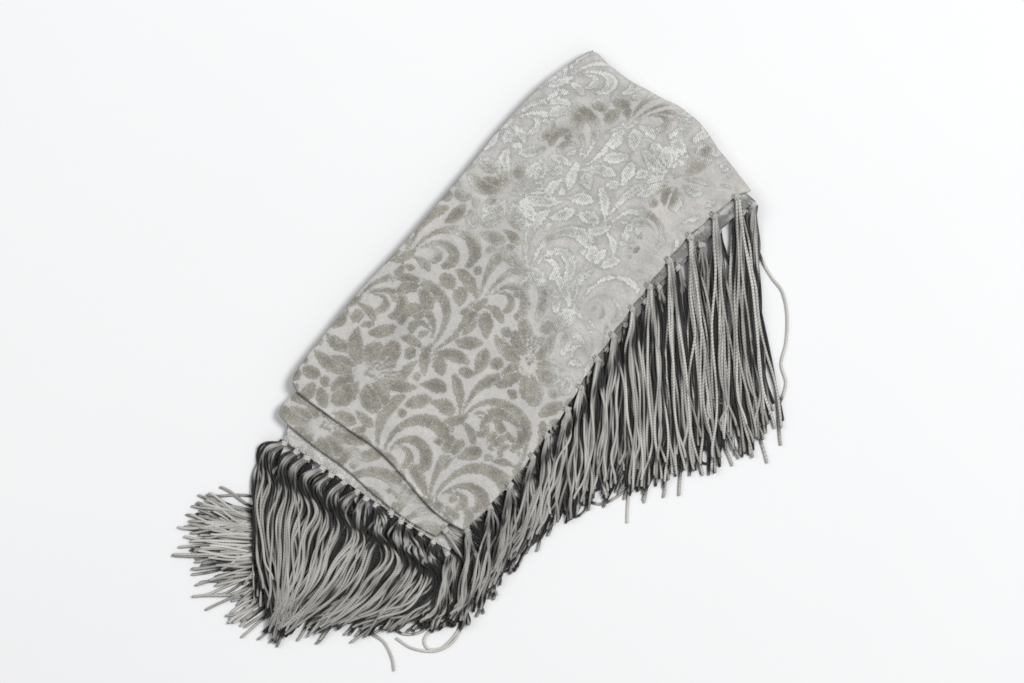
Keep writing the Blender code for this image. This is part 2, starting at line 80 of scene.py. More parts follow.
# How far each edge bows out from the line between its corners: (share of the edge, bow)
STRAIGHT = ((0.0, 0.0), (1.0, 0.0))
LOWER_SELVEDGE = ((0.0, 0.0), (0.3, 1.0), (0.5, -4.0), (0.62, -9.0), (0.72, -11.0), (0.85, -9.0),
                  (0.93, -5.0), (1.0, 0.0))
TOP_BOWS = {
    "near": ((0.0, 0.0), (0.07, 1.6), (0.15, 0.9), (0.32, -1.7), (0.48, -4.5), (0.61, -2.3),
             (0.81, 3.7), (0.92, 3.4), (1.0, 0.0)),
    "far": ((0.0, 0.0), (0.09, -1.5), (0.23, 0.4), (0.325, 4.6), (0.41, 8.0), (0.47, 11.3),
            (0.55, 13.0), (0.61, 13.0), (0.67, 11.3), (0.75, 7.6), (0.85, 4.9), (1.0, 0.0)),
    "fold": ((0.0, 0.0), (0.05, 3.2), (0.15, 5.7), (0.25, 8.0), (0.385, 7.5), (0.51, 8.7),
             (0.63, 10.3), (0.73, 12.3), (0.855, 11.5), (0.93, 6.8), (1.0, 0.0)),
    "selvedge": ((0.0, 0.0), (0.08, 2.3), (0.2, 3.2), (0.28, 0.4), (0.35, -0.4), (0.48, -8.0),
                 (0.62, -12.8), (0.76, -15.2), (0.83, -14.7), (0.9, -10.6), (0.966, -6.0), (1.0, 0.0)),
}
SECOND_BOWS = {
    "near": ((0.0, 0.0), (0.1, 2.0), (0.27, 2.7), (0.45, 1.6), (0.65, 4.0), (0.85, 3.6), (1.0, 0.0)),
    "far": STRAIGHT,
    "fold": ((0.0, -2.0), (0.08, -4.0), (0.2, 5.0), (0.5, 7.0), (0.75, 10.5), (0.9, 7.0), (1.0, 0.0)),
    "selvedge": LOWER_SELVEDGE,
}
BAND_BOWS = {
    "near": STRAIGHT,
    "far": STRAIGHT,
    "fold": ((0.0, 0.0), (0.08, 10.0), (0.2, 13.5), (0.5, 14.0), (0.75, 12.5), (0.9, 7.0), (1.0, 0.0)),
    "selvedge": LOWER_SELVEDGE,
}

# Creases of the top panel: from (x, y) to (x, y), half width before and past the line, height
CREASES = (
    (30, 176, 31, 82, 11, 11, -1.7),
    (31, 82, 38, 30, 13, 13, -0.9),
    (2, 180, 20, 166, 9, 9, 1.1),
    (20, 181, 34, 168, 5, 5, -1),
    (52, 178, 56, 96, 11, 11, 1.1),
    (-60, 150, -20, 172, 12, 12, -0.8),
    (-78, -150, 10, -160, 15, 15, 0.4),
    (-70, 60, -62, -90, 16, 16, 0.45),
    (40, -170, 74, -60, 14, 14, -0.35),
    (-38, 128, -8, 152, 6, 9, -1.1),
    (2, 168, 26, 172, 3, 6, -1.3),
    (12, 160, 38, 155, 2.2, 8, 1.4),
    (60, 150, 44, 60, 5, 14, 0.9),
    (70, 176, 78, 150, 5, 5, -0.9),
    (-30, 30, 40, -30, 22, 26, 0.35),
    (-84, -40, -50, 20, 10, 14, -0.3),
)

# Spots of painted shade, where the lean is negative, and of painted sheen and highlight, where it is
# positive, written as places where the nap is pressed the other way: middle, half length and half
# width in pixels of the photo, turn in degrees, and how far it leans
PAINTED_LIGHT_SPOTS = (
    (623, 111, 34, 15, -8, -1.0), (664, 118, 20, 15, 20, -0.8), (584, 114, 15, 11, 0, -0.7),
    (562, 137, 18, 14, 20, -0.8), (590, 135, 11, 11, 0, -0.6), (544, 150, 11, 22, 0, -0.6),
    (496, 183, 17, 13, -20, -0.8), (520, 170, 10, 12, 0, -0.6), (551, 236, 18, 12, -10, -0.5),
    (512, 236, 14, 14, 0, -0.4), (590, 262, 14, 24, 30, -0.35), (664, 200, 12, 30, 32, -1.15),
    (640, 250, 11, 24, 34, -0.9), (700, 160, 10, 24, 30, -0.8), (608, 318, 11, 22, 36, -0.8),
    (720, 176, 9, 9, 0, -0.7), (680, 141, 7, 11, -25, 0.8), (672, 268, 6, 6, 0, -0.7),
    (655, 284, 5, 5, 0, -0.6), (690, 232, 6, 5, 0, -0.7), (632, 296, 5, 7, 0, 0.4),
    (430, 255, 26, 12, -45, 0.4), (470, 225, 30, 12, -45, 0.3), (560, 380, 16, 30, 45, 0.3),
    (425, 515, 16, 8, 45, 0.8), (402, 492, 14, 6, 45, 0.6), (355, 455, 26, 7, 40, 0.5),
    (310, 428, 20, 8, 40, 0.4), (455, 505, 10, 14, 45, 0.3), (400, 330, 40, 16, -50, -0.35),
    (470, 440, 26, 18, 30, -0.3), (340, 380, 20, 14, 0, -0.3), (430, 400, 18, 14, 20, 0.3),
    (385, 425, 12, 18, 40, 0.3), (500, 350, 22, 12, -40, 0.3), (520, 430, 12, 12, 0, -0.4),
)


def smooth(rows, at):
    """Values of a smooth curve through rows of (station, value, ...) at an array of stations."""
    table = np.array(rows, float)
    at = np.atleast_1d(np.asarray(at, float))
    stations, values = table[:, 0], table[:, 1:]
    step = np.diff(stations)
    slope = np.empty_like(values)
    slope[1:-1] = (values[2:] - values[:-2]) / (stations[2:] - stations[:-2])[:, None]
    slope[0] = (values[1] - values[0]) / step[0]
    slope[-1] = (values[-1] - values[-2]) / step[-1]
    i = np.clip(np.searchsorted(stations, at, side="right") - 1, 0, len(step) - 1)
    t = np.clip((at - stations[i]) / step[i], 0, 1)[:, None]
    run = step[i][:, None]
    return (values[i] * (2 * t ** 3 - 3 * t ** 2 + 1) + slope[i] * run * (t ** 3 - 2 * t ** 2 + t)
            + values[i + 1] * (3 * t ** 2 - 2 * t ** 3) + slope[i + 1] * run * (t ** 3 - t ** 2))


def ease(t):
    """Go softly from 0 to 1."""
    t = np.clip(t, 0.0, 1.0)
    return t * t * (3 - 2 * t)


def edge_points(start, end, bow, share, side):
    """Points on a bowed edge; side is +1 where the bow goes to the right of start to end."""
    start, end = np.array(start), np.array(end)
    run = (end - start) / np.linalg.norm(end - start)
    share = np.atleast_1d(share)
    right = np.array((run[1], -run[0]))
    return start + (end - start) * share[:, None] + right * side * smooth(bow, share)


def plan_points(corners, bows, u, v):
    """Points of a ply in plan: u goes from the fold to the selvedge, v from the near end to the far."""
    a, b = np.array(corners["near_fold"]), np.array(corners["near_selvedge"])
    c, d = np.array(corners["far_selvedge"]), np.array(corners["far_fold"])
    near = edge_points(a, b, bows["near"], u, 1)
    far = edge_points(d, c, bows["far"], u, -1)
    fold = edge_points(a, d, bows["fold"], v, -1)
    selvedge = edge_points(b, c, bows["selvedge"], v, 1)
    u, v = u[:, None], v[:, None]
    flat = (a * (1 - u) + b * u) * (1 - v) + (d * (1 - u) + c * u) * v
    return near * (1 - v) + far * v + fold * (1 - u) + selvedge * u - flat


def seen_at(across, down):
    """Place on the surface, in millimetres, of a point so many pixels across and down the photo."""
    right, up = (across - ORIGIN_ACROSS) * PIXEL, (ORIGIN_DOWN - down) * PIXEL
    return TURN_COS * right - TURN_SIN * up, TURN_SIN * right + TURN_COS * up


def unevenness(x, y, size, seed):
    """A slow unevenness from -1 to 1 over a plan, with features of the given size."""
    return np.array([noise.noise((a / size, b / size, seed)) for a, b in zip(x, y)])


def painted_light_lie(x, y):
    """Painted sheen and shade, held as how far the nap leans toward the light, from -0.6 to 1.4.

    From 0, motif in painted shade, to 1, motif in painted sheen, only the motif follows it; beyond them the
    ground changes too, with painted shade below 0 and a painted highlight above 1.
    """
    lean = y + 0.35 * x + 2.0 + 26.0 * unevenness(x, y, 60.0, 4.0) + 14.0 * unevenness(x, y, 21.0, 9.0)
    lean = ease((lean + 52.0) / 116.0)
    across = ORIGIN_ACROSS + (TURN_COS * x + TURN_SIN * y) / PIXEL
    down = ORIGIN_DOWN - (TURN_COS * y - TURN_SIN * x) / PIXEL
    for middle_across, middle_down, long, wide, turn, amount in PAINTED_LIGHT_SPOTS:
        a = math.radians(turn)
        along = (across - middle_across) * math.cos(a) + (down - middle_down) * math.sin(a)
        aside = (down - middle_down) * math.cos(a) - (across - middle_across) * math.sin(a)
        lean += amount * np.exp(-(along / long) ** 2 - (aside / wide) ** 2)
    return np.clip(lean, -0.6, 1.4)


def crease_height(x, y):
    """Height of the soft creases at points of the top panel."""
    height = np.zeros_like(x)
    for x1, y1, x2, y2, before, past, depth in CREASES:
        run_x, run_y = x2 - x1, y2 - y1
        t = np.clip(((x - x1) * run_x + (y - y1) * run_y) / (run_x ** 2 + run_y ** 2), 0, 1)
        away_x, away_y = x - x1 - run_x * t, y - y1 - run_y * t
        wide = np.where(away_x * run_y > away_y * run_x, past, before)
        height += depth * np.exp(-(away_x ** 2 + away_y ** 2) / wide ** 2)
    return height


# The damask motif: leaves, petals and scrolls in one repeat of the cloth. Their half widths run
# from the foot to the tip.
LEAF = (0.3, 0.62, 0.86, 0.98, 1.0, 0.92, 0.74, 0.46, 0.08)      # pointed at its tip
HOOK = (0.16, 0.26, 0.4, 0.58, 0.78, 0.96, 1.08, 1.0, 0.6)       # broad and round where it curls over
TEAR = (0.12, 0.3, 0.55, 0.8, 1.0, 1.08, 1.0, 0.8, 0.4)          # a drop with its foot drawn out


def stroke(points, radii):
    """A brushed shape: a smooth line with the half width that it has along the way."""
    rows = [(i / (len(points) - 1), *p, r) for i, (p, r) in enumerate(zip(points, radii))]
    return smooth(rows, np.linspace(0, 1, 16))


def toward(degrees):
    """The unit step that is turned so many degrees from +X."""
    return np.array((math.cos(math.radians(degrees)), math.sin(math.radians(degrees))))


def frond(x, y, turn, length, half_width, curl, shape, late=0.0):
    """A leaf from its foot at (x, y) that curls to one side, the more so late toward its tip."""
    steps = len(shape) - 1
    middle = (steps - 1) / 2
    points = [np.array((x, y), float)]
    for step in range(steps):
        points.append(points[-1] + length / steps * toward(turn))
        turn += curl / steps * (1 + late * (step - middle) / middle)
    return stroke(points, [half_width * r for r in shape])


def plume(x, y, turn, size, hand):
    """An acanthus plume: hooks that nest inside one another, with plain leaves behind them."""
    # foot ahead and aside, lean, length, half width, curl, shape and lateness of the curl
    rows = ((0.0, 0.0, -10, 1.72, 0.105, 212, HOOK, 0.5), (0.13, 0.055, 12, 0.98, 0.092, 222, HOOK, 0.5),
            (0.2, 0.12, 34, 0.46, 0.062, 200, HOOK, 0.2), (-0.04, -0.07, -34, 0.98, 0.085, 62, HOOK, 0.4),
            (-0.12, -0.04, -62, 0.6, 0.09, -34, TEAR, 0.0), (-0.12, 0.1, 52, 0.4, 0.07, 60, TEAR, 0.0),
            (0.0, 0.03, 176, 0.5, 0.08, 36, LEAF, 0.0), (-0.3, 0.1, 140, 0.42, 0.075, 60, TEAR, 0.0))
    made = []
    for ahead, aside, lean, length, wide, curl, shape, late in rows:
        foot = np.array((x, y)) + size * (ahead * toward(turn) + hand * aside * toward(turn + 90))
        made.append(frond(*foot, turn + hand * lean, length * size, wide * size, hand * curl, shape, late))
    return made


def ringed(x, y, turn, long, wide, band):
    """An oval ring, by its half length, its half width and the half width of its line."""
    points = [np.array((x, y)) + long * math.cos(t) * toward(turn) + wide * math.sin(t) * toward(turn + 90)
              for t in np.linspace(0, 6.3, 15)]
    return stroke(points, [band] * len(points))


def flower(x, y, size, turn):
    """An open bloom seen from the side: pointed petals round a ringed heart, with stamens cut in."""
    petals, cuts = [], []
    for lean, reach, wide, curl, shape in (
            (0, 1.1, 0.15, 26, LEAF), (30, 0.72, 0.12, -34, LEAF), (62, 0.95, 0.19, 40, TEAR),
            (101, 0.66, 0.17, -24, TEAR), (136, 1.2, 0.15, -46, LEAF), (166, 0.72, 0.11, 30, LEAF),
            (192, 1.25, 0.155, -36, LEAF), (224, 0.8, 0.13, 40, LEAF), (256, 0.86, 0.21, -24, TEAR),
            (300, 0.8, 0.2, 26, TEAR), (333, 1.02, 0.13, -34, LEAF)):
        out_x, out_y = toward(lean + turn)
        foot = (x + 0.25 * size * out_x, y + 0.22 * size * out_y)
        petals.append(frond(*foot, lean + turn, reach * size * 0.74, wide * size, curl, shape))
    for lean in (24, 38, 52, 66):
        stamen = [np.array((x, y)) + share * size * toward(lean + turn) for share in (0.1, 0.35, 0.6)]
        cuts.append(stroke(stamen, [0.8, 0.9, 0.6]))
    petals.append(frond(x, y, turn + 45, 0.55 * size, 0.2 * size, 10, TEAR))
    cuts.append(ringed(x, y, turn, 0.25 * size, 0.2 * size, 0.9))
    return petals, cuts


def main_shapes():
    """The blooms and plumes of one repeat."""
    shapes, cuts = flower(-48.0, -142.0, 38.0, 14)
    small, small_cuts = flower(46.0, -46.0, 34.0, 70)
    shapes += small
    # foot, turn, size and hand of each plume
    for row in ((4, -186, 96, 54, -1), (58, -176, 88, 52, -1), (-94, -92, 74, 50, -1),
                (-22, -92, 104, 52, 1), (34, -112, 66, 48, -1), (93, -112, 118, 42, 1),
                (-86, -34, 76, 46, -1), (-16, -34, 80, 51, -1), (92, -12, 118, 40, 1)):
        shapes += plume(*row)
    return shapes, cuts + small_cuts


def stroke_depth(x, y, line):
    """How deep points lie inside a brushed shape, in millimetres; negative outside it."""
    p, r = line[:, :2], line[:, 2]
    depth = np.full(x.shape, -CLEAR)
    for i in range(len(p) - 1):
        run = p[i + 1] - p[i]
        t = np.clip(((x - p[i, 0]) * run[0] + (y - p[i, 1]) * run[1]) / max(run @ run, 1e-6), 0, 1)
        away = np.hypot(x - p[i, 0] - run[0] * t, y - p[i, 1] - run[1] * t)
        depth = np.maximum(depth, r[i] + (r[i + 1] - r[i]) * t - away)
    return depth


def drawn_depth(x, y, shapes, cuts):
    """Depth of points inside shapes that repeat along Y; where two meet, a thin line of ground stays."""
    depth = np.full(x.shape, -CLEAR)
    low, high = y.min() - 20, y.max() + 20
    for k, line in enumerate(shapes + cuts):
        reach = line[:, 2].max() + CLEAR
        first = math.floor((low - line[:, 1].max()) / REPEAT)
        last = math.ceil((high - line[:, 1].min()) / REPEAT)
        for n in range(first, last + 1):
            moved = line + np.array((0.0, n * REPEAT, 0.0))
            (x0, y0), (x1, y1) = moved[:, :2].min(axis=0) - reach, moved[:, :2].max(axis=0) + reach
            near = np.nonzero((x > x0) & (x < x1) & (y > y0) & (y < y1))[0]
            if not len(near):
                continue
            had, found = depth[near], stroke_depth(x[near], y[near], moved)
            if k >= len(shapes):
                depth[near] = np.minimum(had, -found)
                continue
            merged = np.maximum(had, found)
            seam = np.maximum(np.abs(had - found) - THREAD, -1.0) + 0.1 * merged
            both = (had > -0.2) & (found > -0.2)
            depth[near] = np.where(both, np.minimum(merged, seam), merged)
    return depth


def filled_shapes():
    """The main shapes, with drops and leaves in the bare places that they leave."""
    shapes, cuts = main_shapes()
    x, y = (grid.ravel() for grid in np.meshgrid(np.arange(-100, 101, 2.0), np.arange(-192, 0, 2.0)))
    depth = drawn_depth(x, y, shapes, [])
    turns = np.arange(0, 180, 22.5)
    reach, least_room, margin, widest = 9.0, 5.0, 2.3, 5.2
    for count in range(60):
        i = int(np.argmin(depth))
        if -depth[i] < least_room:
            break
        half = min(-depth[i] - margin, widest)
        # the drop lies along the way that has most room
        free = []
        for turn in turns:
            ends = [np.array((x[i], y[i])) + side * reach * toward(turn) for side in (-1, 1)]
            free.append(min(-depth[int(np.argmin((x - a) ** 2 + (y - b) ** 2))] for a, b in ends))
        best = int(np.argmax(free))
        turn = turns[best] + 12 * math.sin(7.0 * count)
        length = 2 * half + (10.0 if free[best] > 3.0 else 4.0 if free[best] > 1.5 else 0.0)
        foot = np.array((x[i], y[i])) - length / 2 * toward(turn)
        added = frond(*foot, turn, length, half, 24 * math.cos(5.0 * count), TEAR if count % 3 else LEAF)
        shapes.append(added)
        depth = np.maximum(depth, drawn_depth(x, y, [added], []))
    return shapes, cuts


MOTIF = filled_shapes()


def motif_depth(x, y):
    """Depth of points of the cloth inside the damask motif, in millimetres."""
    x = x + 1.6 * np.sin(y / 31.0) + 1.1 * np.sin(y / 17.0 + x / 40.0)
    y = y + 1.4 * np.sin(x / 27.0)
    return drawn_depth(x, y, *MOTIF)


# Cloth

def positions(mesh):
    """Places of the vertices of a mesh, an array of (vertex, 3)."""
    places = np.empty(len(mesh.vertices) * 3)
    mesh.vertices.foreach_get("co", places)
    return places.reshape(-1, 3)


def hold(mesh, name, values):
    """Keep a value for each vertex on the mesh, for its material."""
    mesh.attributes.new(name, "FLOAT", "POINT").data.foreach_set("value", values)


def new_piece(name, mesh, material):
    mesh.polygons.foreach_set("use_smooth", [True] * len(mesh.polygons))
    mesh.materials.append(material)
    piece = bpy.data.objects.new(name, mesh)
    SCARF.objects.link(piece)
    return piece


def cloth_mesh(name, across, along, shape, material):
    """A wall of cloth on a grid.

    shape gives each station's place, its place on the flat cloth, how far the motif fades there, and
    its shade.
    """
    bm = bmesh.new()
    bmesh.ops.create_grid(bm, x_segments=across - 1, y_segments=along - 1, size=0.5)
    mesh = bpy.data.meshes.new(name)
    bm.to_mesh(mesh)
    bm.free()
    drawn = positions(mesh)
    i = np.rint((drawn[:, 0] + 0.5) * (across - 1)).astype(int)
    j = np.rint((drawn[:, 1] + 0.5) * (along - 1)).astype(int)
    place, flat, fade, shade = shape(i, j)
    mesh.vertices.foreach_set("co", (place * MM).ravel())
    corner = np.empty(len(mesh.loops), int)
    mesh.loops.foreach_get("vertex_index", corner)
    mesh.uv_layers.new(name="cloth").data.foreach_set("uv", (flat[corner] * MM).ravel())
    hold(mesh, "motif", (motif_depth(flat[:, 0], flat[:, 1]) - fade) * MM)
    # painted sheen and shade, held as the lean of the nap
    hold(mesh, "nap", painted_light_lie(place[:, 0], place[:, 1]))
    hold(mesh, "shade", shade)
    piece = new_piece(name, mesh, material)
    wall = piece.modifiers.new("wall", "SOLIDIFY")
    wall.thickness = CLOTH * MM
    wall.offset = -1.0
    wall.use_even_offset = False
    return piece


def under_edge(x, y, above):
    """How near points lie to the edge of what covers the pile above a height, for painted contact shade: 1 at
    it, 0 past 2.5 mm.
    """
    i, j = pile_cell(x, y)
    near = np.clip(2 * spread_out((PILE > above).astype(float), 2, np.mean)[i, j], 0, 1) ** 2
    # the painted shade is uneven along the edge and darker toward the fringed selvedge
    return near * (0.75 + 0.35 * unevenness(x, y, 26.0, 4.0) + 0.25 * ease((x - 30.0) / 50.0))


def round_corner(s, t, radius):
    """Bring distances from two edges onto a rounded corner."""
    a, b = np.clip(1 - s / radius, 0, None), np.clip(1 - t / radius, 0, None)
    inside = (a > 0) & (b > 0)
    pull = np.where(inside, np.maximum(a, b) / np.maximum(np.hypot(a, b), 1e-9), 1.0)
    return (np.where(inside, radius * (1 - a * pull), s), np.where(inside, radius * (1 - b * pull), t))


def roll(value, radius, unroll):
    """Inset and drop of a rolled edge where its cloth has turned to value degrees."""
    angle = np.radians(90.0 - (90.0 - value) * unroll)
    return radius * (1 - np.cos(angle)), radius * (1 - np.sin(angle))


def unrolled(turn, radius, inset):
    """How much longer the cloth of a rolled edge is than the way it covers."""
    return np.where(turn < 90, np.radians(90 - turn) * radius - radius + inset, 0)


def top_cloth(material):
    """The top ply, rolled under at its near end and its lengthwise fold and wrapped round the far end."""
    fold_turns = np.linspace(-62.0, 82.0, 11)
    far_turns = np.linspace(84.0, -84.0, 26)
    flat_x = np.linspace(0, 1, 128)
    flat_y = np.linspace(0, 1, 242)
    kind_x = np.concatenate((fold_turns, np.full(len(flat_x), 90.0)))
    share_x = np.concatenate((np.zeros(len(fold_turns)), flat_x))
    kind_y = np.concatenate((fold_turns, np.full(len(flat_y), 90.0), np.full(len(far_turns), 90.0)))
    end_y = np.concatenate((np.full(len(fold_turns) + len(flat_y), 90.0), far_turns))
    share_y = np.concatenate((np.zeros(len(fold_turns)), flat_y, np.ones(len(far_turns))))

    def shape(i, j):
        # each rolled edge turns less near the corners
        open_near = ease(share_y[j] * PANEL_LENGTH / OPENING)
        open_far = ease((1 - share_y[j]) * PANEL_LENGTH / OPENING)
        along_fold = UNROLL + (1 - UNROLL) * open_near * open_far
        along_ends = UNROLL + (1 - UNROLL) * ease(share_x[i] * PANEL_WIDTH / OPENING)
        radius = FOLD_RADIUS * (1 + 0.7 * (1 - open_far))
        inset_s, drop_s = roll(kind_x[i], radius, along_fold)
        near_t, drop_n = roll(kind_y[j], FOLD_RADIUS, along_ends)
        far_t, drop_f = roll(end_y[j], END_RADIUS, along_ends)
        s = np.where(kind_x[i] < 90, inset_s, radius + share_x[i] * (PANEL_WIDTH - radius))
        t = FOLD_RADIUS + share_y[j] * (PANEL_LENGTH - FOLD_RADIUS - END_RADIUS)
        t = np.where(kind_y[j] < 90, near_t, np.where(end_y[j] < 90, PANEL_LENGTH - far_t, t))
        flat_s = s - PANEL_WIDTH / 2 - unrolled(kind_x[i], radius, inset_s)
        flat_t = t - PANEL_LENGTH / 2 - unrolled(kind_y[j], FOLD_RADIUS, near_t)
        flat = np.stack((flat_s, flat_t + unrolled(end_y[j], END_RADIUS, far_t)), axis=1)
        s, t = round_corner(s, t, CORNER)
        s, rest = round_corner(s, PANEL_LENGTH - t, CORNER)
        u, v = s / PANEL_WIDTH, (PANEL_LENGTH - rest) / PANEL_LENGTH
        place = plan_points(TOP_PANEL, TOP_BOWS, u, v)
        drop = np.hypot(drop_s, np.hypot(drop_n, drop_f))
        x, y = place[:, 0], place[:, 1]
        relief = crease_height(x, y) + 0.35 * unevenness(x, y, 46.0, 3.0) + 0.16 * unevenness(x, y, 17.0, 8.0)
        relief -= SELVEDGE_DROOP * ease((u - 0.7) / 0.3) * ease((v - 0.01) / 0.12)
        # doubled hem along the fringed selvedge, pulled in a little at each knot
        hem = ease((s - PANEL_WIDTH + HEM) / CLOTH)
        relief += 0.35 * hem
        pull = 0.55 * np.cos(2 * np.pi * (v * 14.9 + 0.1)) * ease((s - PANEL_WIDTH + 10.0) / 10.0)
        x = x + pull + 0.3 * unevenness(x, y, 7.0, 5.0) * hem
        z = PACKET_TOP - drop + relief * np.clip(1 - drop / FOLD_RADIUS, 0, 1)
        # the rolled edges give and take a little along their length
        z += 0.25 * unevenness(x, y, 22.0, 12.0) * np.clip(drop / FOLD_RADIUS, 0, 1)
        # the pattern thins out in a rubbed border along the far half of the fringed selvedge
        fade = ease((s - PANEL_WIDTH + 44.0) / 16.0) * ease((v - 0.42) / 0.2)
        fade = 2.9 * fade * (1 + 0.8 * unevenness(x, y, 11.0, 6.0))
        # painted shade under the rolled edges, with a paler lip along the near one
        under = ease((40 - kind_x[i]) / 80) + ease((40 - kind_y[j]) / 80)
        lip = ease((kind_y[j] - 50) / 30) * (1 - ease(share_y[j] * PANEL_LENGTH / 3.0))
        return np.stack((x, y, z), axis=1), flat, fade, np.clip(under, 0, 1) - 0.22 * lip

    return cloth_mesh("top_cloth", len(kind_x), len(kind_y), shape, material)


def folded_leaf(name, corners, bows, low, high, near_low, fine, rolled, material, crumple=0.0):
    """A doubled layer of the scarf: a lower ply, its fold at -X, and the upper ply over it.

    low and high are its faces, near_low how far the lower ply's near end is drawn back, fine the
    depth of the near strip that shows, rolled the radius of the upper ply's near edge, and crumple
    how high the flecks stand at its near corner.
    """
    radius, middle = (high - low) / 2, (high + low) / 2
    width = corners["near_selvedge"][0] - corners["near_fold"][0]
    length = corners["far_fold"][1] - corners["near_fold"][1]
    coarse_x = np.linspace(1.0, 0.0, 30)
    fine_x = np.linspace(0.0, 1.0, 96)
    turns = np.linspace(-90, 90, 13)[1:-1]
    share_x = np.concatenate((coarse_x, np.zeros(len(turns)), fine_x))
    turn_x = np.concatenate((np.full(len(coarse_x), -90.0), turns, np.full(len(fine_x), 90.0)))
    near_turns = np.linspace(-55.0, 80.0, 9) if rolled else np.array([])
    flat_y = np.concatenate((np.linspace(0, fine, int(fine / 1.3)), np.linspace(fine, length, 60)[1:]))
    depth_y = np.concatenate((np.zeros(len(near_turns)), flat_y))
    turn_y = np.concatenate((near_turns, np.full(len(flat_y), 90.0)))

    def shape(i, j):
        upper = (1 + np.sin(np.radians(turn_x[i]))) / 2
        inset, _ = roll(turn_x[i], radius, 1.0)
        s = np.where(np.abs(turn_x[i]) < 90, inset, radius + share_x[i] * (width - radius))
        near_t, near_drop = roll(turn_y[j], rolled, 0.8) if rolled else (0.0, 0.0)
        t = np.where(turn_y[j] < 90, near_t, rolled + depth_y[j])
        near_drop = np.where(turn_y[j] < 90, near_drop, 0.0) * upper
        flat = np.stack((np.where(turn_x[i] > 0, s, -s) - width / 2, t - length / 2 + 40.0), axis=1)
        s, t = round_corner(s, t, CORNER)
        t = t * upper + (near_low + t * (1 - near_low / length)) * (1 - upper)
        u, v = np.clip(s / width, 0, 1), np.clip(t / (length + rolled), 0, 1)
        place = plan_points(corners, bows, u, v)
        x, y = place[:, 0], place[:, 1]
        x = x + 0.8 * unevenness(x * 0 + low * 7, y, 34.0, low) * (1 - u)
        z = middle + radius * np.sin(np.radians(turn_x[i])) - near_drop
        z += 0.18 * unevenness(x, y, 30.0, low + 1.0) * ease(upper * 2)
        if crumple:
            at = np.exp(-((x - 66.0) ** 2 + (y + 190.0) ** 2) / 22.0 ** 2)
            z += crumple * at * unevenness(x, y, 6.0, 2.0) * upper
        # painted shade under the edge of the ply above and under the rolled near edge, and a band of painted
        # shade along the selvedge under the hem above
        shade = np.maximum(under_edge(x, y, high + 1), ease((34 - turn_y[j]) / 80))
        shade = np.maximum(shade, 0.8 * ease((u - 0.94) / 0.03) * ease((v - 0.12) / 0.05))
        return np.stack((x, y, z), axis=1), flat, 0.0 * u, shade

    return cloth_mesh(name, len(share_x), len(depth_y), shape, material)


# Fringe

def cord_template():
    """One cord as a closed tube of unit radius, with its UVs: each ring stands at its own number."""
    shares = np.concatenate(([0.0, 0.0, 0.006], np.arange(1, SEGMENTS) / SEGMENTS, [0.994, 1.0, 1.0]))
    radii = np.concatenate(([0.0, 0.7], np.ones(len(shares) - 4), [0.7, 0.0]))
    bm = bmesh.new()
    bm.loops.layers.uv.new("cord")
    bmesh.ops.create_grid(bm, x_segments=SIDES, y_segments=len(shares) - 1, size=0.5, calc_uvs=True)
    for vert in bm.verts:
        turn = 2 * math.pi * (vert.co.x + 0.5)
        ring = round((vert.co.y + 0.5) * (len(shares) - 1))
        vert.co = (radii[ring] * math.cos(turn), radii[ring] * math.sin(turn), ring)
    bmesh.ops.remove_doubles(bm, verts=bm.verts, dist=1e-4)
    bmesh.ops.recalc_face_normals(bm, faces=bm.faces)
    mesh = bpy.data.meshes.new("one_cord")
    bm.to_mesh(mesh)
    bm.free()
    return mesh, shares


TEMPLATE, SHARES = cord_template()
TUBE = positions(TEMPLATE)
RING = np.rint(TUBE[:, 2]).astype(int)      # the station that each vertex stands at


def unit(vectors):
    """The same directions, each of length 1."""
    return vectors / np.maximum(np.linalg.norm(vectors, axis=-1, keepdims=True), 1e-9)


def heading(path):
    """Direction of a path, or of many, at each station; the short steps at its ends copy the next."""
    step = np.gradient(path, axis=-2)
    step[..., :2, :], step[..., -2:, :] = step[..., 2:3, :], step[..., -3:-2, :]
    return unit(step)


def way_along(plan):
    """Length of a path in plan from its start to each of its points."""
    return np.concatenate(([0.0], np.cumsum(np.hypot(*np.diff(plan, axis=0).T))))


def tube_points(paths, radius):
    """Vertices of the cords along their paths, an array of (cord, vertex, 3)."""
    ahead = heading(paths)
    side = np.empty_like(ahead)
    side[:, 0] = unit(np.cross(ahead[:, 0], (0.0, 0.0, 1.0)))
    for k in range(1, paths.shape[1]):
        turned = ahead[:, k] * np.sum(side[:, k - 1] * ahead[:, k], axis=1, keepdims=True)
        side[:, k] = unit(side[:, k - 1] - turned)
    up = np.cross(side, ahead)
    return paths[:, RING] + radius * (side[:, RING] * TUBE[:, 0, None] + up[:, RING] * TUBE[:, 1, None])


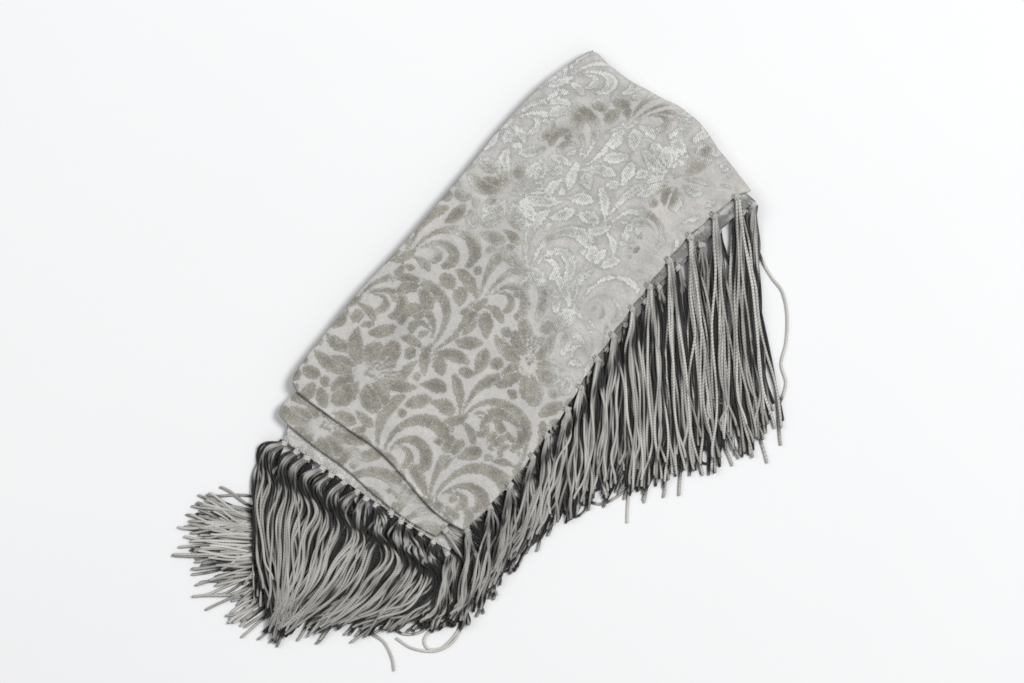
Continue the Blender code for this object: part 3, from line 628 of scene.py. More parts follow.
def cord_piece(name, cords, knots, material, bunched, shelter, pale, ribbed, radius):
    """All the cords of one fringe, and its knots painted paler as a highlight, as one joined mesh.

    The first so many cords are bunched: they take painted shade where they dip below their curls. Shelter
    is how far the cords take painted shade from one another, pale how light they can be at the near end and
    along the far half, with the same cord painted darker where less light reaches it, and ribbed how plainly
    their ribs stand out.
    """
    paths = np.array(cords + knots)
    bm = bmesh.new()
    for _ in range(len(paths)):
        bm.from_mesh(TEMPLATE)
    mesh = bpy.data.meshes.new(name)
    bm.to_mesh(mesh)
    bm.free()
    points = tube_points(paths, radius).reshape(-1, 3)
    mesh.vertices.foreach_set("co", (points * MM).ravel())
    # painted light: the same cord is made darker toward the near end and lighter along the far half
    palest = np.interp(paths[:len(cords), 0, 1], (-140.0, 10.0), pale)
    tones = np.concatenate((RANDOM.random(len(cords)) * palest, np.full(len(knots), KNOT_HIGHLIGHT_TONE)))
    depth = deepness(points).reshape(len(paths), -1)
    sheltered = np.concatenate((np.full(len(cords), shelter), np.full(len(knots), 0.5)))[:, None]
    depth = depth * sheltered + (1 - sheltered) * ease((depth - 0.8) / 0.35)
    # painted shade in the dip below each curl, and over the curls
    for k in range(bunched):
        along = way_along(paths[k, :, :2])[RING]
        depth[k] += 0.22 * np.exp(-((along - 31.0 - 8.0 * (tones[k] - 0.4)) / 7.0) ** 2)
        depth[k] += 0.06 * (1 - ease((along - 16.0) / 22.0))
    hold(mesh, "tone", np.repeat(tones, len(TUBE)))
    # how deep each point lies, for the painted shade among the cords
    hold(mesh, "deep", depth.ravel())
    hold(mesh, "ribbed", np.full(len(points), ribbed))
    mesh.update()
    return new_piece(name, mesh, material)


PILE_LOW = np.array((-150.0, -420.0))
PILE = np.zeros((440, 680))       # upper face of what lies at each millimetre of the surface
ROOF = np.zeros((440, 680))       # top of the cords once all of them are laid
AROUND = [(a, b) for a in (-1, 0, 1) for b in (-1, 0, 1)]     # a cell and its neighbours


def pile_cell(x, y):
    """The cell of the surface, one millimetre across, that each point lies over."""
    i = np.clip((x - PILE_LOW[0]).astype(int), 1, PILE.shape[0] - 2)
    j = np.clip((y - PILE_LOW[1]).astype(int), 1, PILE.shape[1] - 2)
    return i, j


def spread_out(field, reach, how):
    """Each millimetre takes the highest or the mean value of what lies within reach."""
    for axis in (0, 1):
        padded = np.pad(field, reach, mode="edge")
        field = how(np.lib.stride_tricks.sliding_window_view(padded, 2 * reach + 1, axis=axis), axis=-1)
        field = field[:, reach:-reach] if axis == 0 else field[reach:-reach]
    return field


def raise_pile(corners, bows, height):
    """Mark the ground that a ply covers, up to its upper face."""
    u, v = (grid.ravel() for grid in np.meshgrid(np.linspace(0, 1, 400), np.linspace(0, 1, 800)))
    place = plan_points(corners, bows, u, v)
    i, j = pile_cell(place[:, 0], place[:, 1])
    np.maximum.at(PILE, (i, j), height)


def finer(path):
    """A path with four times as many points."""
    fine = np.linspace(0, len(path) - 1, 4 * len(path))
    return np.column_stack([np.interp(fine, np.arange(len(path)), column) for column in path.T])


def lay_row(plans, root_height, hang, full, hump):
    """Lay a row of cords on what is there already, each on the ones before it.

    root_height is how high they start, hang how far from its root a cord stays in the air, full the
    height at which the row packs down, and hump how far a bunch arches up below its knot.
    """
    ground = spread_out(spread_out(PILE, 2, np.max), 3, np.mean)
    thick = np.zeros(PILE.shape)
    laid = []
    for plan in plans:
        i, j = pile_cell(plan[:, 0], plan[:, 1])
        along = way_along(plan)
        start = root_height + RANDOM.random() * 0.8
        reach = hang * (0.9 + 0.3 * RANDOM.random())
        under = np.mean([thick[i + a, j + b] for a, b in AROUND], axis=0)
        under = ground[i, j] + full * (1 - np.exp(-under / full))
        loose = ease(along / reach * 1.6 - 0.3)
        under = under * loose + np.minimum(under, start - CORD) * (1 - loose)
        free = (start - CORD) * (1 - ease(along / reach))
        height = np.maximum(under, free)
        for _ in range(4):
            padded = np.pad(height, 1, mode="edge")
            height = (padded[:-2] + 2 * padded[1:-1] + padded[2:]) / 4
        arch, dip = np.exp(-((along - 12.0) / 8.0) ** 2), np.exp(-((along - 33.0) / 8.0) ** 2)
        height += hump * (arch - 0.75 * dip)
        height = np.maximum(height, 0.0) + CORD * (1.02 + 0.5 * RANDOM.random())
        laid.append(np.column_stack((plan, height)))
        x, y, _ = finer(laid[-1]).T
        i, j = pile_cell(x, y)
        cells = [(i + a) * PILE.shape[1] + j + b for a, b in AROUND]
        thick.ravel()[np.unique(cells)] += RISE
    np.maximum(PILE, np.where(thick > 0, ground + full * (1 - np.exp(-thick / full)), 0.0), out=PILE)
    return laid


def roof_over(paths):
    """Mark how high the cords reach."""
    for path in paths:
        x, y, z = finer(path).T
        i, j = pile_cell(x, y)
        for a, b in AROUND:
            np.maximum.at(ROOF, (i + a, j + b), z + CORD * (0.6 if a or b else 1.0))


def deepness(points):
    """How deep points lie in the pile: 0 on its top, past 1 well down among the cords."""
    i, j = pile_cell(points[:, 0], points[:, 1])
    close = (ROOF_CLOSE[i, j] - points[:, 2]) / 2.75
    wide = (ROOF_WIDE[i, j] - points[:, 2]) / 7.0
    return np.clip(close, 0, 1) * 0.85 + np.clip(wide, 0, 1) * 0.45


def cord_plan(root, guide, wander, phase, shift, gather, curl, tip):
    """Plan of one cord: out of its knot, perhaps in a curl, then along its guide with a slight wander.

    shift is how far it lies aside of its guide, gather how far it bows aside near its knot, and tip
    how far its end bends away.
    """
    x1, y1, x2, y2, x3, y3 = guide
    rows = ((0.0, *root), (1 / 3, x1, y1), (2 / 3, x2, y2), (1.0, x3, y3))
    plan = smooth(rows, SHARES)
    along, ahead = way_along(plan), heading(plan)
    aside = np.stack((ahead[:, 1], -ahead[:, 0]), axis=1)
    free = ease(SHARES * 5)
    swing = wander * (np.sin(2 * np.pi * (SHARES * phase[0] + phase[1]))
                      + 0.6 * np.sin(2 * np.pi * (SHARES * phase[2] + phase[3]))) * free
    swing += shift * ease(SHARES * 1.4 - 0.2) + gather * np.sin(np.pi * np.clip(SHARES * 2.6, 0, 1))
    swing += curl * np.sin(2 * np.pi * along / 56.0) * np.exp(-(along / 40.0) ** 2)
    swing += tip * ease((SHARES - 0.72) / 0.28) ** 2
    return plan + aside * swing[:, None]


def hem_ways(hem):
    """Directions of a hem: along it, and outward from the cloth."""
    run = np.subtract(hem[1], hem[0])
    run /= np.linalg.norm(run)
    return run, np.array((run[1], -run[0]))


def hem_place(hem, share):
    """A point of a hem's outer line."""
    return edge_points(hem[0], hem[1], hem[2], np.array([share]), 1)[0]


def knots_on(hem, seen):
    """Shares of a hem that lie nearest to knots seen at the given pixels."""
    shares = np.linspace(0, 1, 801)
    line = edge_points(hem[0], hem[1], hem[2], shares, 1)
    found = []
    for pixel in seen:
        away = line - np.array(seen_at(*pixel))
        found.append(shares[np.argmin((away ** 2).sum(axis=1))])
    return sorted(found)


def tufts(hem, knots, guides, each, root_height, hang, full, wander=1.4, out=2.0, cross=4.0,
          uneven=0.05, curl=0.0, hump=0.0, clump=0.35, bent=3.5):
    """The laid cords that hang from a row of knots.

    out is how far outside the hem they start, cross how far they stray over their neighbours, uneven
    how much their lengths differ, clump how far a bunch keeps to the way of its middle, and bent how
    far the tips bend aside. root_height, hang, full and hump are those of lay_row.
    """
    plans = []
    run, outward = hem_ways(hem)
    order = [(k, n) for k in range(len(knots)) for n in range(each)]
    RANDOM.shuffle(order)
    gaps = np.diff(np.concatenate(([knots[0] - 0.06], knots, [knots[-1] + 0.06])))
    curls = curl * (0.7 + 0.5 * RANDOM.normal(size=len(knots)))
    leans = 0.35 * cross * RANDOM.normal(size=len(knots))
    for k, n in order:
        place = (n + 0.5) / each - 0.5
        share = knots[k] + place * (gaps[k] if place < 0 else gaps[k + 1]) * 1.05 + 0.009 * RANDOM.normal()
        guide = smooth(guides, min(max(share, 0.0), 1.0))[0].copy()
        middle = smooth(guides, min(max(knots[k], 0.0), 1.0))[0]
        guide[:2] = guide[:2] * (1 - clump) + middle[:2] * clump
        guide[2:4] = guide[2:4] * (1 - clump * 0.3) + middle[2:4] * clump * 0.3
        trim = 1 - uneven * abs(RANDOM.normal()) + (0.08 if RANDOM.random() < 0.07 else 0.0)
        root = hem_place(hem, knots[k]) + outward * out + run * place * 3.6
        guide[4:6] = guide[2:4] + (guide[4:6] - guide[2:4]) * (3 * trim - 2)
        phase = (0.5 + RANDOM.random() * 0.9, RANDOM.random(), 1.4 + RANDOM.random() * 1.4, RANDOM.random())
        plans.append(cord_plan(root, guide, wander * (0.6 + 0.8 * RANDOM.random()), phase,
                               leans[k] + RANDOM.normal() * cross, RANDOM.normal() * 1.3,
                               curls[k] + 0.15 * curl * RANDOM.normal(), bent * RANDOM.normal()))
    return lay_row(plans, root_height, hang, full, hump)


def guides_seen(rows):
    """Guides in millimetres from (share, three points) that are given in pixels of the photo."""
    return [(share, *(value for pixel in points for value in seen_at(*pixel))) for share, *points in rows]


def knot_paths(hem, knots, height, out):
    """Each knot: a little over two turns of cord round the bunch, and the two loops over the hem."""
    run, outward = hem_ways(hem)
    made = []
    for share in knots:
        place = hem_place(hem, share) + outward * out
        tilt = 0.25 * RANDOM.normal()
        size = 1 + 0.12 * RANDOM.normal()
        along = outward * math.cos(tilt) + run * math.sin(tilt)
        aside = run * math.cos(tilt) - outward * math.sin(tilt)
        turn = 2 * np.pi * (2.2 * SHARES + RANDOM.random())
        ring = (place + along * (3.8 * SHARES[:, None] - 1.4)
                + aside * (2.0 * size * np.cos(turn))[:, None])
        made.append(np.column_stack((ring, height + 0.5 + 2.1 * size * np.sin(turn))))
        for lean in (-1.1, 1.0):
            arc = np.sin(np.pi * SHARES)
            loop = place + along * (5.5 * SHARES[:, None] - 5.0) + aside * (lean + 0.5 * arc)[:, None]
            made.append(np.column_stack((loop, height - 0.6 + 2.2 * arc * size)))
    return made


def stray(seen):
    """A single cord that lies on the surface, along the pixels where it shows."""
    points = np.array([seen_at(*pixel) for pixel in seen])
    along = way_along(points)
    plan = smooth(np.column_stack((along / along[-1], points)), SHARES)
    return np.column_stack((plan, np.full(len(plan), CORD + 0.1)))


# Finishes

def new_group(name, inputs, outputs):
    """An empty node group of plain numbers; only the socket Place is a point."""
    group = bpy.data.node_groups.new(name, "ShaderNodeTree")
    for way, labels in (("INPUT", inputs), ("OUTPUT", outputs)):
        for label in labels:
            kind = "NodeSocketVector" if label == "Place" else "NodeSocketFloat"
            group.interface.new_socket(label, in_out=way, socket_type=kind)
    given, made = group.nodes.new("NodeGroupInput"), group.nodes.new("NodeGroupOutput")
    return group, given.outputs, made.inputs, Weaver(group)


class Weaver:
    """Adds nodes to one tree and joins them up; a plain value is set on the socket itself."""

    def __init__(self, tree):
        self.tree = tree

    def put(self, socket, value):
        if isinstance(value, bpy.types.NodeSocket):
            self.tree.links.new(value, socket)
        else:
            socket.default_value = value

    def node(self, kind, inputs=(), **settings):
        node = self.tree.nodes.new("ShaderNode" + kind)
        for label, given in settings.items():
            setattr(node, label, given)
        for label, given in dict(inputs).items():
            self.put(node.inputs[label], given)
        return node

    def math(self, operation, *given, clamp=False):
        return self.node("Math", enumerate(given), operation=operation, use_clamp=clamp).outputs[0]

    def times(self, a, b, clamp=False):
        return self.math("MULTIPLY", a, b, clamp=clamp)

    def fit(self, value, gain, base):
        return self.math("MULTIPLY_ADD", value, gain, base)

    def ramp(self, value, low, high, to_low=0.0, to_high=1.0):
        inputs = {"Value": value, "From Min": low, "From Max": high, "To Min": to_low, "To Max": to_high}
        return self.node("MapRange", inputs, interpolation_type="SMOOTHSTEP").outputs["Result"]

    def mix(self, factor, a, b):
        return self.node("Mix", {"Factor": factor, 6: a, 7: b}, data_type="RGBA").outputs[2]

    def scaled(self, colour, factor):
        return self.node("VectorMath", {0: colour, "Scale": factor}, operation="SCALE").outputs[0]

    def toned(self, colour, *rows):
        """The colour, scaled in turn by each row's value times its gain plus its base."""
        for row in rows:
            colour = self.scaled(colour, self.fit(*row))
        return colour

    def noise(self, where, scale, detail=2.0, roughness=0.5):
        inputs = {"Vector": where, "Scale": scale, "Detail": detail, "Roughness": roughness}
        return self.node("TexNoise", inputs).outputs["Fac"]

    def place(self):
        return self.node("TexCoord").outputs["Object"]

    def uv(self, name):
        """Both numbers of a UV map."""
        flat = self.node("UVMap", uv_map=name).outputs["UV"]
        return self.node("SeparateXYZ", {0: flat}).outputs[:2]

    def held(self, name):
        """A value that the mesh holds at its points."""
        return self.node("Attribute", attribute_name=name).outputs["Fac"]

    def group(self, group, **values):
        return self.node("Group", values, node_tree=group).outputs

    def bump(self, shader, height, strength):
        bump = self.node("Bump", {"Strength": strength, "Distance": 1.0, "Height": height})
        self.put(shader.inputs["Normal"], bump.outputs["Normal"])


def grain_group():
    """Fine velvety grain of the cloth: a speckle and the slow mottling of its nap."""
    group, given, made, w = new_group("velvet_grain", ("Place", "Fine"), ("Speckle", "Mottle"))
    w.put(made["Speckle"], w.ramp(w.noise(given["Place"], given["Fine"], 3.0, 0.65), 0.28, 0.72))
    w.put(made["Mottle"], w.ramp(w.noise(given["Place"], 26.0, 3.0, 0.55), 0.3, 0.7))
    return group


def rib_group():
    """Ribs of a satin or ribbed weave across a flat place on the cloth, from 0 to 1."""
    group, given, made, w = new_group("woven_ribs", ("Along", "Pitch", "Sway"), ("Rib",))
    turn = w.math("ADD", w.math("DIVIDE", given["Along"], given["Pitch"]), given["Sway"])
    w.put(made["Rib"], w.fit(w.math("SINE", w.times(turn, 2 * math.pi)), 0.5, 0.5))
    return group


def blank_material(name, roughness, sheen, sheen_roughness):
    material = bpy.data.materials.new(name)
    material.use_nodes = True
    shader = material.node_tree.nodes["Principled BSDF"]
    shader.inputs["Roughness"].default_value = roughness
    shader.inputs["Sheen Weight"].default_value = sheen
    shader.inputs["Sheen Roughness"].default_value = sheen_roughness
    shader.inputs["Specular IOR Level"].default_value = 0.35
    return material, shader, Weaver(material.node_tree)


def damask_material(name, ground, ground_warm, painted_shade_motif, painted_sheen_motif, painted_sheen_light, rim_painted_highlight, weave):
    """Velvety damask: a pale napped ground and satin motifs, with painted sheen, highlights and shade by
    where they lie.
    """
    material, shader, w = blank_material(name, 0.8, 0.35, 0.45)
    place = w.place()
    u, v = w.uv("cloth")
    fine, mottle = w.group(GRAIN, Place=place, Fine=800.0)
    coarse = w.group(GRAIN, Place=place, Fine=420.0)["Speckle"]
    # how deep inside a motif, with a fuzzy outline
    depth = w.math("ADD", w.held("motif"), w.times(w.math("SUBTRACT", coarse, 0.5), 0.0021))
    motif = w.ramp(depth, -0.0009, 0.0011)
    rim = w.math("SUBTRACT", motif, w.ramp(depth, 0.0009, 0.0036))
    # painted sheen and shade: the motif is painted dark near the folded corner and silvery over the far
    # part, as if its nap lay away from the light there and toward it here
    nap = w.held("nap")
    lean = w.math("ADD", nap, 0.0, clamp=True)
    # painted shade that darkens the whole cloth where the lean is below 0, and a painted glint that lightens
    # it above 1
    painted_shade_and_glint = w.times(w.ramp(nap, -0.6, 0.0, 0.76, 1.0), w.ramp(nap, 1.0, 1.4, 1.0, 1.14))
    drift = w.times(w.math("SUBTRACT", w.noise(place, 70.0), 0.5), 0.7)
    # how far the motif takes its painted sheen rather than its painted shade
    painted_sheen = w.ramp(w.math("ADD", nap, drift), 0.1, 0.9)
    sway = w.times(w.noise(place, 60.0, 1.0), 1.4)
    rib = w.group(RIBS, Along=w.fit(u, 0.35, v), Pitch=0.00165, Sway=sway)["Rib"]
    patchy = w.ramp(w.noise(place, 52.0, 3.0, 0.6), 0.35, 0.65)
    rubbed = w.math("SUBTRACT", w.ramp(w.noise(place, 78.0, 4.0, 0.65), 0.3, 0.7), 0.55)
    # the ground, painted a little darker where the lean toward the light is strong
    base = w.toned(w.mix(mottle, ground, ground_warm), (coarse, 0.14, 0.91), (fine, 0.12, 0.94),
                   (lean, -0.08, 0.96), (rib, weave, 1 - weave / 2), (rubbed, w.fit(lean, 0.17, 0.1), 1.0))
    # the satin motif painted as a shaded copy and a sheened copy of one colour, with patches of brighter
    # painted sheen
    satin = w.mix(painted_sheen, painted_shade_motif, w.mix(patchy, painted_sheen_motif, painted_sheen_light))
    satin = w.toned(satin, (fine, 0.6, 0.72), (coarse, 0.3, 0.85), (rubbed, w.fit(painted_sheen, -0.3, 0.45), 1.0),
                    (rib, 0.18, 0.92))
    # a painted highlight along the outlines of the motif, strongest where its sheen is painted
    rim_painted_glint = w.times(rim, w.fit(painted_sheen, 0.75, 0.1))
    rim_painted_glint = w.times(rim_painted_glint, w.fit(rib, 0.7, 0.25))
    rim_painted_glint = w.times(rim_painted_glint, w.fit(patchy, 0.6, 0.5), clamp=True)
    colour = w.mix(rim_painted_glint, w.mix(motif, base, satin), rim_painted_highlight)
    # a painted shadow: a soft dark line just outside each motif, where its pile stands over the ground,
    # darker where the sheen is painted
    foot = w.math("SUBTRACT", w.ramp(depth, -0.0022, -0.0004), motif, clamp=True)
    colour = w.toned(colour, (foot, w.times(painted_sheen, -0.16), 1.0))
    # painted contact shade under the edge of the ply above, a paler lip along a fold, and the painted shade
    # and glint of the lean
    colour = w.scaled(colour, w.times(w.fit(w.held("shade"), -0.62, 1.0), painted_shade_and_glint))
    w.put(shader.inputs["Base Color"], colour)
    w.put(shader.inputs["Roughness"], w.fit(fine, 0.08, w.fit(motif, -0.22, 0.84)))
    height = w.times(w.fit(rib, 0.9, 0.1), w.times(motif, 0.00013))
    height = w.math("ADD", height, w.times(w.math("ADD", motif, rim), 0.00016))
    w.bump(shader, w.fit(fine, 0.00012, w.fit(coarse, 0.00026, height)), 0.9)
    return material


def cord_material(name, light, dark, rib_groove_shade):
    """Grey chainette cord: slanting ribs along it, a little unevenness from cord to cord."""
    material, shader, w = blank_material(name, 0.55, 0.25, 0.4)
    u, v = w.uv("cord")
    fold = w.math("ABSOLUTE", w.math("SUBTRACT", w.math("FRACT", w.times(u, 3.0)), 0.5))
    rib = w.group(RIBS, Along=v, Pitch=1 / 78.0, Sway=w.times(fold, 0.9))["Rib"]
    speckle, mottle = w.group(GRAIN, Place=w.place(), Fine=1400.0)
    colour = w.mix(w.fit(mottle, 0.25, w.times(w.held("tone"), 0.78)), dark, light)
    hollow = w.times(w.math("SUBTRACT", 1.0, rib), w.held("ribbed"))
    # painted shade in the hollows between the ribs
    colour = w.toned(w.mix(w.times(hollow, 0.56), colour, rib_groove_shade), (speckle, 0.16, 0.92))
    # painted shade: cords deep in the pile are darkened, as in the shade of the cords over them
    colour = w.scaled(colour, w.ramp(w.held("deep"), 0.02, 0.7, 1.0, 0.045))
    w.put(shader.inputs["Base Color"], colour)
    w.put(shader.inputs["Roughness"], w.fit(rib, -0.1, 0.6))
    w.bump(shader, w.fit(hollow, -0.00036, w.times(speckle, 0.00006)), 0.8)
    return material


def floor_material():
    material, shader, w = blank_material("pale_floor", 0.9, 0.0, 0.5)
    shade = w.noise(w.place(), 3.0)
    w.put(shader.inputs["Base Color"], w.mix(shade, (0.83, 0.83, 0.835, 1), (0.86, 0.86, 0.86, 1)))
    return material


# Guides of the fringe: (share of the hem, first third x, y, second third x, y, tip x, y)
SIDE_GUIDES = (
    (0, 115, -203, 130, -227, 139, -250), (0.07, 118, -181, 134, -208, 145, -235),
    (0.14, 118, -156, 134, -183, 145, -211), (0.22, 117, -127, 132, -155, 143, -184),
    (0.28, 114, -107, 131, -136, 143, -165), (0.35, 113, -81, 132, -111, 147, -142),
    (0.42, 111, -57, 134, -88, 154, -118), (0.5, 110, -29, 137, -61, 161, -94),
    (0.56, 111, -10, 142, -44, 169, -79), (0.62, 112, 8, 147, -30, 179, -68),
    (0.69, 115, 32, 156, -8, 192, -50), (0.76, 120, 53, 164, 12, 206, -29),
    (0.83, 126, 76, 174, 30, 219, -9), (0.9, 129, 100, 180, 50, 229, 8),
    (0.96, 131, 122, 181, 74, 233, 28), (1, 137, 136, 182, 92, 235, 49),
)
# The lower row along the side turns along the edge of the heap near its tips
LOW_SIDE_GUIDES = []
for share, x1, y1, x2, y2, x3, y3 in SIDE_GUIDES:
    turned = float(ease((share - 0.1) / 0.15) * (1 - ease((share - 0.7) / 0.15)))
    LOW_SIDE_GUIDES.append((share, x1, y1, x2 + 3.5 * turned, y2 - 3.0 * turned,
                            x3 - 8.0 * turned, y3 - 17.0 * turned))
END_GUIDES = guides_seen((
    (0.0, (258, 476), (258, 548), (269, 608)), (0.09, (281, 495), (281, 562), (283, 624)),
    (0.24, (309, 511), (302, 568), (277, 629)), (0.43, (346, 529), (324, 580), (277, 630)),
    (0.58, (375, 542), (350, 590), (300, 630)), (0.7, (399, 552), (375, 594), (326, 628)),
    (0.82, (423, 562), (403, 599), (358, 628)), (0.92, (443, 571), (429, 606), (396, 629)),
    (1.0, (458, 576), (451, 607), (434, 628)),
))
BUNDLE_GUIDES = guides_seen((
    (0.0, (338, 532), (274, 515), (198, 493)), (0.2, (343, 538), (270, 527), (186, 511)),
    (0.4, (350, 545), (268, 541), (184, 536)), (0.6, (356, 556), (270, 557), (190, 563)),
    (0.8, (364, 566), (280, 575), (209, 597)), (1.0, (378, 574), (298, 590), (242, 634)),
))
CORNER_GUIDES = (
    (0, 112, -231, 123, -251, 126, -268), (0.5, 117, -225, 131, -243, 137, -257),
    (1, 119, -214, 136, -230, 147, -242),
)

# Knots, by the pixels where they show
TOP_KNOTS = ((734, 195), (713, 216), (689, 237), (668, 261), (649, 287), (631, 309), (614, 337), (596, 359),
             (579, 386), (565, 408), (544, 434), (531, 456), (508, 484), (489, 506), (467, 530))
LOWER_KNOTS = ((757, 212), (741, 210), (716, 229), (700, 245), (678, 269), (664, 293))
BAND_KNOTS = ((286, 441), (297, 452), (307, 458), (323, 468), (333, 472), (345, 482), (359, 489),
              (368, 496), (378, 503), (392, 511), (403, 518), (411, 524), (422, 532), (432, 544))
# Cords that lie apart, by the pixels along them
STRAYS = (
    ((757, 205), (754, 234), (762, 260), (772, 278), (782, 291), (787, 313), (786, 343), (781, 364),
     (786, 384), (777, 410)),
    ((330, 560), (352, 602), (369, 631), (384, 642), (392, 658), (394, 671)),
    ((450, 575), (466, 600), (463, 622), (453, 642), (435, 651), (412, 648), (396, 638)),
    ((457, 590), (460, 625), (443, 647), (429, 649), (424, 641), (428, 633), (434, 631)),
    ((636, 420), (632, 460), (628, 500), (627, 523)),
    ((655, 430), (650, 470), (644, 503)),
    ((480, 530), (486, 560), (497, 571), (512, 569), (521, 560), (523, 548)),
    ((545, 460), (556, 490), (561, 509), (573, 517), (584, 512), (588, 501)),
    ((606, 430), (614, 468), (628, 487), (645, 486), (655, 470)),
    ((690, 415), (694, 446), (703, 463), (716, 460), (719, 448)),
    ((570, 470), (584, 497), (601, 504), (622, 493), (634, 480)),
    ((420, 585), (434, 612), (424, 630), (404, 634), (388, 624)),
)


# Making the scarf

RANDOM = np.random.default_rng(612)
SCARF = bpy.data.collections.new("fringed_scarf")
bpy.context.scene.collection.children.link(SCARF)
GRAIN, RIBS = grain_group(), rib_group()

# colours of the damask and the hem: ground, warm ground, the motif in painted shade, the motif in painted
# sheen, its brightest painted sheen, the painted highlight of its rims, and the weave
damask = damask_material("damask", (0.525, 0.512, 0.485, 1), (0.575, 0.553, 0.525, 1),
                         (0.262, 0.246, 0.21, 1), (0.365, 0.367, 0.342, 1), (0.52, 0.52, 0.495, 1),
                         (0.75, 0.76, 0.735, 1), 0.0)
hem_cloth = damask_material("hem", (0.55, 0.54, 0.52, 1), (0.60, 0.58, 0.56, 1), (0.48, 0.47, 0.45, 1),
                            (0.48, 0.47, 0.45, 1), (0.53, 0.52, 0.50, 1), (0.64, 0.64, 0.62, 1), 0.4)
# cord colours: light, dark, and the painted shade in the rib hollows
cord_grey = cord_material("cord", (0.82, 0.80, 0.755, 1), (0.305, 0.293, 0.268, 1), (0.17, 0.162, 0.148, 1))

raise_pile(TOP_PANEL, TOP_BOWS, PACKET_TOP - SELVEDGE_DROOP)
raise_pile(SECOND_FOLD, SECOND_BOWS, SECOND_TOP)
raise_pile(HEM_BAND, BAND_BOWS, BAND_TOP)

top = top_cloth(damask)
second = folded_leaf("second_cloth", SECOND_FOLD, SECOND_BOWS, 8.0, SECOND_TOP, 6.0, 46.0, 1.6, damask,
                     crumple=0.9)
band = folded_leaf("band_cloth", HEM_BAND, BAND_BOWS, 4.0, BAND_TOP, 5.0, 46.0, 0.0, hem_cloth)
lowest = folded_leaf("lowest_cloth", LOWEST, BAND_BOWS, 0.05, 3.9, 2.0, 20.0, 0.0, hem_cloth)

top_hem = (TOP_PANEL["near_selvedge"], TOP_PANEL["far_selvedge"], TOP_BOWS["selvedge"])
lower_hem = (SECOND_FOLD["near_selvedge"], SECOND_FOLD["far_selvedge"], LOWER_SELVEDGE)
band_hem = (HEM_BAND["near_fold"], HEM_BAND["near_selvedge"], STRAIGHT)
bundle_hem = ((41.0, -214.5), (94.0, -209.5), STRAIGHT)
corner_hem = ((96.0, -209.0), (101.0, -192.0), STRAIGHT)

top_knots = knots_on(top_hem, TOP_KNOTS)
# Where the lower hem's knots are hidden, they lie midway between those of the top hem, which starts
# 19.5 mm farther along and is 368.5 mm long beside its own 383.5 mm
between = [(19.5 + 368.5 * (a + b) / 2) / 383.5 for a, b in zip(top_knots, top_knots[1:])]
hidden_knots = [0.025] + [share for share in between if share < 0.69]
lower_knots = sorted(knots_on(lower_hem, LOWER_KNOTS) + hidden_knots)
band_knots = knots_on(band_hem, BAND_KNOTS)
bundle_knots = list(np.linspace(0.04, 0.96, 8))

bundle = tufts(bundle_hem, bundle_knots, BUNDLE_GUIDES, 20, 3.0, 20.0, 4.5, 2.4, 1.5, 5.0, 0.13,
               clump=0.0, bent=4.5)
end_low = tufts(band_hem, list(np.linspace(0.0, 0.97, 13)), END_GUIDES, 9, 4.0, 16.0, 3.0, 1.8, 0.5, 3.4,
                clump=0.0)
end_high = tufts(band_hem, band_knots, END_GUIDES, 14, 7.4, 22.0, 4.5, 2.0, 2.0, 3.4, 0.08,
                 curl=8.0, hump=4.0, clump=0.25)
corner = tufts(corner_hem, [0.15, 0.5, 0.85], CORNER_GUIDES, 11, 4.0, 20.0, 4.0, 1.5, 1.0)
side_low = tufts(lower_hem, lower_knots, LOW_SIDE_GUIDES, 14, 9.6, 26.0, 3.5, 1.7, 2.0, 3.6, 0.08,
                 clump=0.0, bent=5.0)
side_high = tufts(top_hem, top_knots, SIDE_GUIDES, 14, 13.6, 30.0, 4.5, 1.7, 2.0, 3.2, 0.08,
                  clump=0.25, bent=4.0)
strays = [stray(points) for points in STRAYS]

roof_over(bundle + end_low + end_high + corner + side_low + side_high)
ROOF_CLOSE, ROOF_WIDE = spread_out(ROOF, 2, np.max), spread_out(ROOF, 9, np.mean)

top_row = knot_paths(top_hem, top_knots, 13.6, 1.0)
lower_row = knot_paths(lower_hem, lower_knots, 9.9, 1.0)
end_row = knot_paths(band_hem, band_knots, 7.2, 1.0) + knot_paths(corner_hem, [0.1, 0.6], 4.5, 1.0)
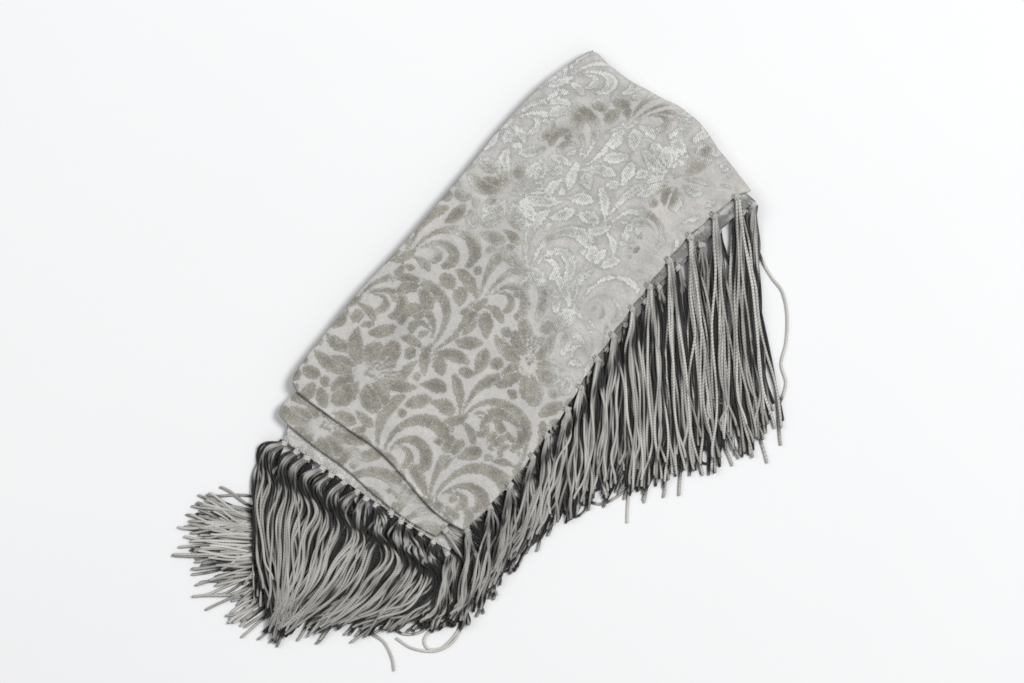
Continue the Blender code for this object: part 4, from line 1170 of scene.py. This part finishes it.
# name, cords, knots, how many are bunched, shelter, pale, ribbed, radius, and the node that it replaces;
# bunched, shelter and pale set painted shade and painted light on the one grey cord
pieces = (
    ("side_fringe_upper", side_high, top_row, 0, 0.8, (0.46, 0.98), 1.0, CORD, "fringe_side_upper"),
    ("side_fringe_lower", side_low, lower_row, 0, 0.8, (0.36, 0.6), 0.85, CORD, "fringe_side_lower"),
    ("end_fringe_upper", end_high + end_low + corner, end_row, len(end_high), 0.94, (0.33, 0.33), 0.55,
     CORD, "fringe_end_upper"),
    ("end_fringe_lower", bundle + strays, [], 0, 0.62, (0.62, 0.62), 0.3, 0.95 * CORD, "fringe_end_lower"),
)
for name, cords, knots, bunched, shelter, pale, ribbed, radius, node in pieces:
    piece = cord_piece(name, cords, knots, cord_grey, bunched, shelter, pale, ribbed, radius)
    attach(piece, "root")
    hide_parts(node)

for piece, node, slot in ((top, "top_panel", "damask"), (second, "second_fold", "damask"),
                          (band, "fringed_end", "hem"), (lowest, "lower_folds", "damask")):
    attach(piece, "root")
    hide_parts(node)

# Floor, light and camera

floor_bm = bmesh.new()
bmesh.ops.create_grid(floor_bm, x_segments=4, y_segments=4, size=3.0)
floor_mesh = bpy.data.meshes.new("floor")
floor_bm.to_mesh(floor_mesh)
floor_bm.free()
floor_mesh.materials.append(floor_material())
floor = bpy.data.objects.new("floor", floor_mesh)
bpy.context.scene.collection.objects.link(floor)

world = bpy.data.worlds.new("soft_room")
world.use_nodes = True
world.node_tree.nodes["Background"].inputs["Color"].default_value = (0.97, 0.985, 1.0, 1.0)
world.node_tree.nodes["Background"].inputs["Strength"].default_value = 0.42
bpy.context.scene.world = world
bpy.context.scene.view_settings.view_transform = "Standard"


def soft_light(name, place, target, size, power):
    light = bpy.data.lights.new(name, "AREA")
    light.shape = "RECTANGLE"
    light.size, light.size_y = size
    light.energy = power
    lamp = bpy.data.objects.new(name, light)
    lamp.location = place
    away = np.array(target) - np.array(place)
    lamp.rotation_euler = (math.acos(-away[2] / np.linalg.norm(away)), 0.0, math.atan2(-away[0], away[1]))
    bpy.context.scene.collection.objects.link(lamp)


soft_light("window", (0.85, 2.0, 3.65), (0.0, -0.05, 0.0), (1.5, 1.5), 124.0)
soft_light("bounce", (-1.6, -0.6, 1.8), (0.0, 0.0, 0.0), (1.4, 1.4), 12.0)

camera = bpy.data.cameras.new("photo_angle")
camera.lens = 200.0
camera.sensor_width = 36.0
seat = bpy.data.objects.new("photo_angle", camera)
seat.location = (0.0221, -0.0406, 0.850 * camera.lens / camera.sensor_width)
seat.rotation_euler = (0.0, 0.0, math.radians(41.4))
bpy.context.scene.collection.objects.link(seat)
bpy.context.scene.camera = seat
